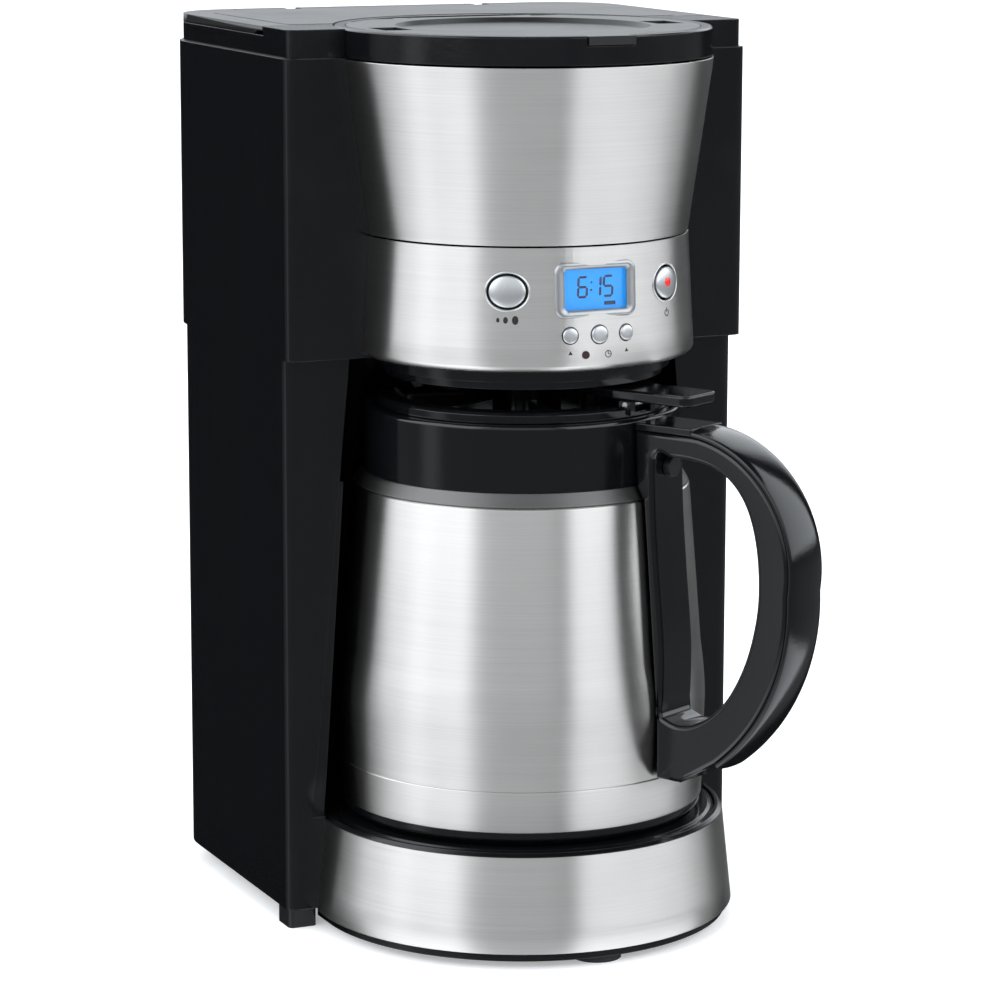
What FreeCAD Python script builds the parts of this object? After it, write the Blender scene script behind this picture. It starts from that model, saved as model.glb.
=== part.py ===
"""Drip coffee maker with an insulated carafe, as a parametric FreeCAD document in millimetres.

Every piece is first built about the brew axis: the vertical line on which the brew head, the base
and the carafe are all centred.  +Z is up, the front faces -Y and the table is Z = 0.  finish() then
moves each piece so that the origin is under the middle of the whole machine.
"""
import FreeCAD, Part
import os
import re
from math import acos, atan2, cos, pi, tan

import Sketcher

# Driving sizes: name, value in millimetres or degrees, meaning.
SIZES = {
    "origin_shift": (9.468, "brew axis to the middle of the footprint"),
    "wall": (2.5, "plastic wall"),
    "sheet_steel": (0.8, "steel skin"),
    "fit_gap": (0.3, "space between pieces that move past each other"),
    "pin_play": (0.05, "radial play of a pin in its bore"),
    # column
    "foot_size": (8, "height of the feet under the column"),
    "lower_half": (100.5, "half width of the lower housing"),
    "lower_front": (7, "front plane of the lower housing"),
    "lower_inset": (1, "lower housing back plane inside the upper one"),
    "upper_half": (101.7, "half width of the upper housings"),
    "column_back": (149, "back plane of the column"),
    "edge_round": (5, "front corner radius of the column"),
    "rear_round": (30, "rear corner radius of the column"),
    "low_seam": (236, "seam between the lower and upper housings"),
    "side_seam": (34, "seam between the head and tank housings"),
    "top_seam": (355.8, "seam under the top frame"),
    "frame_top": (363.4, "top of the frame under the reservoir lid"),
    "head_top": (367, "top of the round lid ring and the corner pieces"),
    "lid_crown": (1, "rise of the reservoir lid above the ring"),
    "lid_front": (30, "front edge of the reservoir lid"),
    "tank_floor": (251, "underside of the water tank"),
    "tank_front": (70, "front plane of the water tank"),
    "tank_space": (1.5, "space round the water tank"),
    "outlet_y": (112, "water tank outlet behind the brew axis"),
    "riser_x": (40, "riser hose left of the middle inside the column"),
    "riser_y": (108, "riser hose behind the brew axis inside the column"),
    "hose_radius": (3.4, "outer radius of the hoses"),
    "heater_radius": (52, "bend radius of the heater tube"),
    "heater_height": (23, "height of the heater tube"),
    "level_room": (60, "height where the riser hose starts to climb"),
    "heater_thick": (5.5, "radius of the heater tube"),
    "screw_radius": (1.5, "shank radius of the base screws"),
    "plate_thick": (2.5, "thickness of the base plate under the column"),
    "gland_x": (60, "cord gland right of the middle"),
    "gland_height": (28, "height of the cord gland"),
    "gland_radius": (7, "radius of the cord gland in its hole"),
    "cord_radius": (3.5, "bore of the cord gland"),
    # carafe bay
    "bay_low_radius": (90, "bay radius at its floor"),
    "bay_high_radius": (73, "bay radius at the low seam"),
    "liner_low_radius": (84.8, "splash liner radius at its foot"),
    "liner_high_radius": (75.7, "splash liner radius at its top"),
    "liner_top": (185, "top of the splash liner"),
    # base
    "skirt_low": (3, "underside of the base plate"),
    "band_low": (6.5, "lower edge of the steel base band"),
    "band_high": (45, "upper edge of the steel base band"),
    "band_low_radius": (88.1, "base band radius at its lower edge"),
    "band_high_radius": (84, "base band radius at its upper edge"),
    "skirt_radius": (85.5, "radius of the base plate"),
    "rim_top": (46.5, "top of the platform that the carafe stands on"),
    "platform_thick": (3, "thickness of the platform"),
    "groove_radius": (79.5, "radius of the drip groove in the platform"),
    # brew head
    "cone_top_radius": (76.6, "steel cone radius at the top seam"),
    "waist_radius": (67.2, "steel radius where the cone meets the control band"),
    "waist": (285.3, "height of the seam between cone and control band"),
    "band_foot_radius": (69.7, "control band radius above its rounded lower edge"),
    "well_radius": (60, "outer radius of the basket well"),
    "well_floor": (231, "underside of the basket well"),
    "neck_radius": (57, "radius of the collar under the brew head"),
    "neck_low": (227.8, "lower edge of that collar"),
    "ring_radius": (76, "radius of the round lid ring"),
    "round_lid_radius": (71, "radius of the basket lid"),
    "lid_thick": (5, "thickness of the basket lid"),
    "basket_pin_y": (60.8, "basket lid pin behind the brew axis"),
    "tongue_middle": (3, "distance of the basket lid's finger tongue to the right"),
    "tongue_half": (10, "half width of that tongue"),
    "dip_middle": (59.5, "distance of the basket lid's finger dips to either side"),
    "dip_half": (6, "half width of a finger dip"),
    "lid_swing_zone": (20, "length beside its pin where the basket lid is narrower"),
    "lid_swing_room": (1, "extra room round the basket lid there, for its swing"),
    "reservoir_pin_in": (5.5, "reservoir lid pin in from the column back"),
    "pin_radius": (1.2, "hinge pin radius"),
    # controls: angles are to the right of the front, heights above the table
    "strength_angle": (29.4, "angle of the strength button, to the left"),
    "power_angle": (32, "angle of the power button"),
    "big_button_height": (268.1, "height of the two large buttons"),
    "big_button_half": (7.3, "half width of a large button"),
    "big_button_rise": (6.2, "half height of a large button"),
    "small_button_angle": (10.2, "angle between neighbouring small buttons"),
    "small_button_height": (250.7, "height of the small buttons"),
    "small_button_radius": (3.1, "radius of the outer small buttons"),
    "mid_button_radius": (3.5, "radius of the middle small button"),
    "lens_angle": (3.5, "angle of the status lens, to the left"),
    "lens_height": (243, "height of the status lens"),
    "lens_radius": (1.55, "radius of the status lens"),
    "screen_middle": (1.2, "distance of the middle of the screen to the right"),
    "screen_height": (268.3, "height of the middle of the screen"),
    "screen_half": (13.5, "half width of the screen window"),
    "screen_rise": (7.9, "half height of the screen window"),
    "bezel_half": (17.6, "half width of the screen bezel"),
    "bezel_rise": (11, "half height of the screen bezel"),
    "board_radius": (61.4, "inner radius of the curved control board"),
    "board_thick": (1.2, "thickness of the control board"),
    # carafe
    "cap_low": (46.8, "underside of the carafe"),
    "steel_low": (52.5, "lower edge of the carafe steel"),
    "steel_low_radius": (75.1, "radius there"),
    "foot_seam": (69.5, "seam of the carafe foot"),
    "belly_radius": (76.2, "radius above that seam"),
    "belly_top": (92, "height where the carafe starts to narrow"),
    "belly_round": (140, "radius of the bend where it narrows"),
    "belly_lean": (2.05, "how far it has narrowed at the end of that bend"),
    "steel_high": (182.2, "upper edge of the carafe steel"),
    "steel_high_radius": (68.7, "radius there"),
    "ring_high": (187.8, "top of the grey ring"),
    "collar_radius": (65, "radius of the carafe collar"),
    "collar_high": (214.5, "top of the carafe collar"),
    "mouth_radius": (50, "inner radius of the carafe mouth"),
    "liner_space": (4, "vacuum gap of the carafe"),
    "pour_lid_radius": (60, "radius of the carafe lid flange"),
    "pour_lid_top": (219, "top of the carafe lid"),
    "tower_top": (224, "top of the post on the carafe lid"),
    "valve_tip": (224.3, "lowest point of the drip valve"),
    # handle: reaches are from the brew axis
    "handle_angle": (28, "handle to the right of the front"),
    "handle_width": (22, "width of the handle"),
    "handle_reach": (141, "reach of the handle"),
    "handle_waist": (152, "height of the furthest point of the handle"),
    "handle_top": (213.6, "top of the handle"),
    "handle_low": (70, "bottom of the handle"),
    "grip_depth": (17, "radial depth of the grip"),
    "cover_thick": (3, "thickness of the outer handle cover"),
    "handle_screw_height": (195.5, "height of the screw that holds the handle to the collar"),
    # thumb lever
    "lever_low": (221.6, "underside of the thumb lever"),
    "lever_thick": (4.5, "thickness of the thumb lever"),
    "lever_reach": (90, "reach of the thumb lever"),
    "lever_corner": (4, "corner radius of the thumb lever's tip"),
    "lever_past_plug": (2, "how far the thumb lever reaches past the middle of the pour plug"),
    "lever_pivot": (58, "thumb lever pin from the brew axis"),
    "lever_pin_height": (219.4, "height of the thumb lever pin"),
    "plug_inset": (14, "middle of the pour plug in from the carafe mouth"),
}

doc = FreeCAD.newDocument("CoffeeMaker")
sheet = doc.addObject("Spreadsheet::Sheet", "Sizes")
for row, (alias, (size, meaning)) in enumerate(SIZES.items(), start=1):
    sheet.set("A%d" % row, meaning)
    sheet.set("B%d" % row, str(size))
    sheet.setAlias("B%d" % row, alias)
gauge = doc.addObject("App::FeaturePython", "Gauge")
gauge.addProperty("App::PropertyFloat", "Reading")
doc.recompute()

# Base screws, as x and y: two at the front of the base, two in the column.
SCREW_SPOTS = [("-36", "-58"), ("36", "-58"), ("3 + wall - lower_half", "100"), ("lower_half - wall - 3", "100")]
GLAND_SPOT = ("gland_x", "column_back - 20", "gland_height")
UP = FreeCAD.Vector(0, 0, 1)
FRONT = FreeCAD.Vector(0, -1, 0)
nodes = {}


# ---------------------------------------------------------------- helpers
def formula(text):
    """Return the text as an expression in which every size name points at its cell."""
    return re.sub(r"[a-z][a-z_]+", lambda m: "Sizes." + m[0] if m[0] in SIZES else m[0], str(text))


def number(text):
    """Return the present value of a formula."""
    gauge.setExpression("Reading", formula(text))
    gauge.recompute()
    return gauge.Reading


def bind(thing, **settings):
    """Bind properties of a document object to formulas; a double underscore stands for a dot."""
    for name, text in settings.items():
        thing.setExpression(name.replace("__", "."), formula(text))
    return thing


def new_body(name):
    return doc.addObject("PartDesign::Body", name)


def new_sketch(body, plane="XZ_Plane", lift="0"):
    """Attach a sketch to one of the body's own origin planes, lifted along the plane's normal."""
    sketch = body.newObject("Sketcher::SketchObject", body.Name + "_sketch")
    support = [item for item in body.Origin.OriginFeatures if item.Role == plane][0]
    sketch.AttachmentSupport = [(support, "")]
    sketch.MapMode = "FlatFace"
    return bind(sketch, AttachmentOffset__Base__z=lift)


def arc_between(start, end, radius):
    """Return the shorter arc from start to end: counterclockwise for a positive radius."""
    chord = end - start
    side = 1 if radius > 0 else -1
    height = max(radius * radius - chord.Length ** 2 / 4, 0) ** 0.5
    left = FreeCAD.Vector(-chord.y, chord.x, 0).normalize()
    centre = (start + end) * 0.5 + left * (side * height)
    first, last = (start, end) if side > 0 else (end, start)
    angles = [atan2(spot.y - centre.y, spot.x - centre.x) for spot in (first, last)]
    if angles[1] < angles[0]:
        angles[1] += 2 * pi
    return Part.ArcOfCircle(Part.Circle(centre, UP, abs(radius)), angles[0], angles[1])


def outline(sketch, corners):
    """Draw a closed outline with every corner bound to the sheet.

    A corner is (x, y), or (x, y, radius) where an arc of that radius leads to the next corner:
    counterclockwise when the radius is positive, clockwise when it is negative.
    """
    spots = [FreeCAD.Vector(number(corner[0]), number(corner[1]), 0) for corner in corners]
    base = sketch.GeometryCount
    ends = []
    for index, corner in enumerate(corners):
        start, end = spots[index], spots[(index + 1) % len(spots)]
        if len(corner) == 2:
            sketch.addGeometry(Part.LineSegment(start, end))
            ends.append((1, 2))
            continue
        radius = number(corner[2])
        sketch.addGeometry(arc_between(start, end, radius))
        ends.append((1, 2) if radius > 0 else (2, 1))
    for index in range(len(corners)):
        after = (index + 1) % len(corners)
        sketch.addConstraint(
            Sketcher.Constraint("Coincident", base + index, ends[index][1], base + after, ends[after][0]))
    for index, corner in enumerate(corners):
        spot, place = spots[index], (base + index, ends[index][0])
        for kind, text, now in (("DistanceX", corner[0], spot.x), ("DistanceY", corner[1], spot.y)):
            mark = sketch.addConstraint(Sketcher.Constraint(kind, -1, 1, place[0], place[1], now))
            sketch.setExpression("Constraints[%d]" % mark, formula(text))
        if len(corner) == 3:
            length = "abs(%s)" % formula(corner[2])
            mark = sketch.addConstraint(Sketcher.Constraint("Radius", base + index, abs(number(corner[2]))))
            sketch.setExpression("Constraints[%d]" % mark, length)
    return sketch


def circle(sketch, x, y, radius):
    """Draw a circle bound to the sheet."""
    centre = FreeCAD.Vector(number(x), number(y), 0)
    item = sketch.addGeometry(Part.Circle(centre, UP, number(radius)))
    for kind, text, now in (("DistanceX", x, centre.x), ("DistanceY", y, centre.y)):
        mark = sketch.addConstraint(Sketcher.Constraint(kind, -1, 1, item, 3, now))
        sketch.setExpression("Constraints[%d]" % mark, formula(text))
    mark = sketch.addConstraint(Sketcher.Constraint("Radius", item, number(radius)))
    sketch.setExpression("Constraints[%d]" % mark, formula(radius))
    return sketch


def plan(half, front, back, front_round, rear_round):
    """Return the plan outline of a column piece, symmetrical about x = 0."""
    half, front, back, front_round, rear_round = [
        "(%s)" % text for text in (half, front, back, front_round, rear_round)]
    return [
        ("-%s + %s" % (half, front_round), front), ("%s - %s" % (half, front_round), front, front_round),
        (half, "%s + %s" % (front, front_round)), (half, "%s - %s" % (back, rear_round), rear_round),
        ("%s - %s" % (half, rear_round), back), ("-%s + %s" % (half, rear_round), back, rear_round),
        ("-" + half, "%s - %s" % (back, rear_round)), ("-" + half, "%s + %s" % (front, front_round), front_round)]


def rounded_rectangle(x, y, half, rise, corner):
    """Return the outline of a rectangle with round corners about the point (x, y)."""
    left, right = "(%s) - (%s)" % (x, half), "(%s) + (%s)" % (x, half)
    low, high = "(%s) - (%s)" % (y, rise), "(%s) + (%s)" % (y, rise)
    return [
        (left + " + " + corner, low), (right + " - " + corner, low, corner),
        (right, low + " + " + corner), (right, high + " - " + corner, corner),
        (right + " - " + corner, high), (left + " + " + corner, high, corner),
        (left, high + " - " + corner), (left, low + " + " + corner, corner)]


def pad(body, sketch, length, centred=False):
    feature = body.newObject("PartDesign::Pad", body.Name + "_pad")
    feature.Profile = sketch
    if centred:
        feature.SideType = "Symmetric"
    return bind(feature, Length=length)


def prism(name, corners, low, high):
    """Return a body padded upwards between two heights."""
    body = new_body(name)
    pad(body, outline(new_sketch(body, "XY_Plane", low), corners), "%s - (%s)" % (high, low))
    return body


def slab(name, corners, width):
    """Return a body drawn in the plane x-z and padded evenly to both sides of it."""
    body = new_body(name)
    pad(body, outline(new_sketch(body), corners), width, centred=True)
    return body


def turned(name, corners):
    """Return a body made by turning (radius, height) corners about the vertical axis."""
    body = new_body(name)
    feature = body.newObject("PartDesign::Revolution", name + "_turn")
    sketch = outline(new_sketch(body), corners)
    feature.Profile = sketch
    feature.ReferenceAxis = (sketch, ["V_Axis"])
    feature.Angle = 360
    return body


def box(name, x, y, z):
    """Return a box from three (low, high) pairs of formulas."""
    item = doc.addObject("Part::Box", name)
    bind(item, Length="%s - (%s)" % (x[1], x[0]), Width="%s - (%s)" % (y[1], y[0]),
         Height="%s - (%s)" % (z[1], z[0]))
    return bind(item, Placement__Base__x=x[0], Placement__Base__y=y[0], Placement__Base__z=z[0])


def rod(name, radius, start, length, along=UP):
    """Return a cylinder that starts at three formulas and runs along a direction."""
    item = doc.addObject("Part::Cylinder", name)
    item.Placement.Rotation = FreeCAD.Rotation(UP, along)
    bind(item, Radius=radius, Height=length)
    return bind(item, Placement__Base__x=start[0], Placement__Base__y=start[1], Placement__Base__z=start[2])


def oval(name, height, half, rise, reach="90"):
    """Return an elliptical prism that runs forward from the brew axis at a height."""
    shape = doc.addObject("Part::Ellipse", name + "_edge")
    shape.Placement.Rotation = FreeCAD.Rotation(UP, FRONT)
    bind(shape, MajorRadius=half, MinorRadius=rise, Placement__Base__z=height)
    item = doc.addObject("Part::Extrusion", name)
    item.Base = shape
    item.DirMode = "Custom"
    item.Dir = FRONT
    item.Solid = True
    return bind(item, LengthFwd=reach)


def cut(name, base, *tools):
    """Return base with every tool taken away."""
    for index, tool in enumerate(tools):
        item = doc.addObject("Part::Cut", name if index == len(tools) - 1 else name + "_step")
        item.Base, item.Tool = base, tool
        base = item
    return base


def join(name, *pieces):
    item = doc.addObject("Part::MultiFuse", name)
    item.Shapes = list(pieces)
    item.Refine = True
    return item


def overlap(name, *pieces):
    item = doc.addObject("Part::MultiCommon", name)
    item.Shapes = list(pieces)
    return item


def tilted(item, angle):
    """Return a finished tool turned about the brew axis, to the right of the front."""
    item = gathered(item.Name + "_turned", item)
    item.Placement.Rotation = FreeCAD.Rotation(UP, number(angle))
    return bind(item, Placement__Rotation__Angle=angle)


def gathered(name, *items):
    """Return items that touch nowhere as one object with a placement of its own."""
    group = doc.addObject("Part::Compound", name)
    group.Links = list(items)
    return group


def finish(label, item, angle=None):
    """Name a finished piece, turn it about the brew axis and put it in the machine's frame."""
    if item.TypeId in ("Part::Box", "Part::Cylinder"):
        item = gathered(label + "_piece", item)
    item.Label = label
    if angle is not None:
        item.Placement.Rotation = FreeCAD.Rotation(UP, number(angle))
        bind(item, Placement__Rotation__Angle=angle)
    bind(item, Placement__Base__y="-origin_shift")
    nodes[label] = item
    return item


# ---------------------------------------------------------------- column
def bay(name, extra="0"):
    """Return the cone of the carafe bay, wider by extra."""
    return turned(name, [
        (0, "rim_top"), ("bay_low_radius + " + extra, "rim_top"),
        ("bay_high_radius + " + extra, "low_seam"), (0, "low_seam")])


def make_lower_housing():
    back = "column_back - lower_inset"
    outer = prism("lower_outer", plan("lower_half", "lower_front", back, "edge_round", "rear_round"),
                  "foot_size", "low_seam")
    inner = prism("lower_inner", plan("lower_half - wall", "lower_front + wall", back + " - wall",
                                      "edge_round - wall", "rear_round - wall"),
                  "foot_size", "low_seam")
    floor = rod("bay_floor", "bay_low_radius + wall", (0, 0, "rim_top - wall"), "wall + 0.01")
    hollow = cut("lower_hollow", inner, bay("bay_wall", "wall"), floor)
    gate = box("base_gate", ("wall - band_high_radius", "band_high_radius - wall"),
               ("lower_front - 1", "lower_front + wall + 1"), ("foot_size - 1", "rim_top - 10"))
    seat = rod("platform_seat", "band_high_radius + 0.3", (0, 0, "rim_top - 10"), "rim_top")
    gland_hole = rod("gland_hole", "gland_radius + 0.05", GLAND_SPOT, 30, -FRONT)
    shell = cut("lower_shell", outer, hollow, bay("bay_cut"), gate, seat, gland_hole)
    posts = [rod("rear_post_%d" % index, 4, (x, y, "foot_size + plate_thick"), 26)
             for index, (x, y) in enumerate(SCREW_SPOTS[2:])]
    bores = [rod("rear_bore_%d" % index, "screw_radius", (x, y, 0), 24)
             for index, (x, y) in enumerate(SCREW_SPOTS[2:])]
    finish("lower_housing", cut("lower_housing_cut", join("lower_with_posts", shell, *posts), *bores))
    liner = turned("liner_turn", [
        ("liner_low_radius", "rim_top"), ("liner_high_radius", "liner_top"),
        ("bay_high_radius + (bay_low_radius - bay_high_radius) * (low_seam - liner_top)"
         " / (low_seam - rim_top)", "liner_top"), ("bay_low_radius", "rim_top")])
    front = box("liner_front", ("-120", "120"), ("-120", "lower_front + 1"), ("0", "300"))
    finish("splash_liner", cut("splash_liner_cut", liner, front))
    gland = "column_back - lower_inset"
    bush = [rod("gland_flange", "gland_radius + 2", ("gland_x", gland, "gland_height"), "lower_inset", -FRONT),
            rod("gland_body", "gland_radius", ("gland_x", gland + " - 5.5", "gland_height"), 5.6, -FRONT),
            rod("gland_lip", "gland_radius + 1.5", ("gland_x", gland + " - 5.5", "gland_height"),
                "5.5 - wall - 0.1", -FRONT)]
    finish("cord_gland", cut("gland_cut", join("gland_body_join", *bush),
                             rod("gland_bore", "cord_radius", GLAND_SPOT, 40, -FRONT)))


def make_feet():
    """Blocks under the column's corners and one pad under the front of the base."""
    blocks = []
    for side in ("-1", "1"):
        for inset, y in (("7", "lower_front + 9"), ("18", "column_back - 22")):
            corners = rounded_rectangle("%s * (lower_half - %s)" % (side, inset), y, "6", "7", "2")
            blocks.append(prism("foot_block", corners, "0", "foot_size"))
    finish("corner_feet", gathered("corner_feet_set", *blocks))
    finish("front_foot", rod("front_pad", 10, (0, "-74", 0), "skirt_low"))


def make_base():
    rear = prism("plate_rear", plan("lower_half - wall - 0.3", "lower_front + wall + 0.3",
                                    "column_back - lower_inset - wall - 0.3", "2", "rear_round - wall"),
                 "foot_size", "foot_size + plate_thick")
    front = prism("plate_front", [("-skirt_radius", 0, "skirt_radius"), (0, "-skirt_radius", "skirt_radius"),
                                  ("skirt_radius", 0), ("skirt_radius", "lower_front + wall + 4"),
                                  ("-skirt_radius", "lower_front + wall + 4")], "skirt_low", "foot_size")
    holes = [rod("plate_hole_%d" % index, "screw_radius + 0.1", (x, y, 0), 20)
             for index, (x, y) in enumerate(SCREW_SPOTS)]
    finish("base_plate", cut("base_plate_cut", join("base_plate_shape", rear, front), *holes))
    lean = "(band_low_radius - band_high_radius) / (band_high - band_low)"
    foot_skin = "band_low_radius - sheet_steel - 0.05 - (foot_size - band_low) * %s" % lean
    head_skin = "band_high_radius - sheet_steel - 0.05"
    under = "rim_top - platform_thick"
    shell = turned("base_wall", [
        (foot_skin, "foot_size"),
        (head_skin, under), ("groove_radius - 4", under), ("groove_radius - 4", under + " - wall"),
        (head_skin + " - wall", under + " - wall"),
        (foot_skin + " - wall", "foot_size")])
    behind = box("behind_base", ("-120", "120"), ("lower_front", "200"), ("0", "300"))
    finish("base_shell", cut("base_shell_cut", shell, behind))
    band = turned("band_turn", [
        ("band_low_radius - sheet_steel", "band_low"), ("band_low_radius - 0.3", "band_low"),
        ("band_low_radius", "band_low + 0.4"), ("band_high_radius", "band_high"),
        ("band_high_radius - sheet_steel", "band_high")])
    finish("base_band", cut("base_band_cut", band, behind))
    platform = turned("platform_turn", [
        (0, under), (0, "rim_top"), ("groove_radius - 1.5", "rim_top"), ("groove_radius - 0.5", "rim_top - 0.8"),
        ("groove_radius + 0.5", "rim_top - 0.8"), ("groove_radius + 1.5", "rim_top"),
        ("band_high_radius - 1.6", "rim_top"), ("band_high_radius", "band_high + 0.25"),
        ("band_high_radius", "band_high + 0.05"), ("band_high_radius - sheet_steel - 0.1", "band_high + 0.05"),
        ("band_high_radius - sheet_steel - 0.1", under)])
    posts = [rod("front_post_%d" % index, 4, (x, y, "foot_size"), "rim_top - 2 - foot_size")
             for index, (x, y) in enumerate(SCREW_SPOTS[:2])]
    bores = [rod("front_bore_%d" % index, "screw_radius", (x, y, 0), 24)
             for index, (x, y) in enumerate(SCREW_SPOTS[:2])]
    finish("carafe_platform", cut("platform_cut", join("platform_posts", platform, *posts), *bores))
    screws = []
    for index, (x, y) in enumerate(SCREW_SPOTS):
        name, under = "base_screw_%d" % index, "skirt_low" if index < 2 else "foot_size"
        screws.append(join(name, rod(name + "_head", 3, (x, y, under + " - 1.8"), 1.8),
                           rod(name + "_shank", "screw_radius", (x, y, under + " - 1"), 15)))
    finish("base_screws", gathered("base_screw_set", *screws))


# ---------------------------------------------------------------- upper column and brew head
def make_head():
    """Front upper shell: the column's front with the well that holds the filter basket."""
    front = prism("head_box", plan("upper_half", "0", "side_seam", "edge_round", "0.2"),
                  "low_seam", "top_seam")
    well = rod("well_wall", "well_radius", (0, 0, "well_floor"), "top_seam - well_floor")
    pockets = [box("head_pocket_" + side, x, ("wall", "side_seam + 1"), ("low_seam - 1", "top_seam - wall"))
               for side, x in (("left", ("wall - upper_half", "-well_radius - 4")),
                               ("right", ("well_radius + 4", "upper_half - wall")))]
    opened = cut("head_open", front, *pockets)
    floor = turned("head_floor", [
        (30, "well_floor"), ("neck_radius - wall", "well_floor"), ("neck_radius - wall", "neck_low"),
        ("neck_radius", "neck_low"), ("neck_radius", "low_seam"),
        ("band_foot_radius - sheet_steel - 2.2", "low_seam"),
        ("band_foot_radius - sheet_steel - 2.2", "low_seam + wall"),
        ("well_radius - 1", "low_seam + wall"), ("well_radius - 1", "well_floor + wall"),
        (30, "well_floor + wall")])
    body = join("head_body", opened, well, floor)
    hollow = rod("well_hollow", "well_radius - wall", (0, 0, "well_floor + wall"), 200)
    drip = rod("well_drip_hole", 30.5, (0, 0, 200), 50)
    finish("head_housing", cut("head_cut", body, hollow, drip))


def make_tank():
    outer = prism("tank_outer", plan("upper_half", "side_seam", "column_back", "0.2", "rear_round"),
                  "low_seam", "top_seam")
    inner = prism("tank_inner", plan("upper_half - wall", "side_seam - 5", "column_back - wall",
                                     "0.2", "rear_round - wall"), "low_seam + wall", "top_seam + 5")
    well = rod("tank_well_gap", "band_foot_radius - sheet_steel - 2", (0, 0, "low_seam - 5"), 20)
    hose = rod("tank_hose_gap", 9, (0, "outlet_y", "low_seam - 5"), 20)
    pipe = rod("tank_pipe_gap", 6, ("-riser_x", "riser_y", "low_seam - 5"), 20)
    finish("tank_housing", cut("tank_housing_cut", outer, inner, well, hose, pipe))
    side = "upper_half - wall - tank_space"
    back = "column_back - wall - tank_space"
    tank = prism("water_outer", plan(side, "tank_front", back, "4", "rear_round - wall - tank_space"),
                 "tank_floor", "top_seam - 1")
    water = prism("water_inner", plan(side + " - 2", "tank_front + 2", back + " - 2", "2",
                                      "rear_round - wall - tank_space - 2"), "tank_floor + 2", "top_seam + 1")
    outlet = rod("water_outlet", 5, (0, "outlet_y", "tank_floor - 5"), 12)
    spigot = rod("water_spigot", 7, (0, "outlet_y", "tank_floor - 10"), 11)
    finish("water_tank", cut("water_tank_cut", join("water_body", tank, spigot), water, outlet,
                             rod("spigot_bore", 5, (0, "outlet_y", "tank_floor - 11"), 8)))
    ball = join("check_valve_shape", rod("check_valve_seat", 4.9, (0, "outlet_y", "tank_floor - 8"), 6),
                rod("check_valve_stem", 2, (0, "outlet_y", "tank_floor - 3"), 6))
    finish("check_valve", ball)


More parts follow.
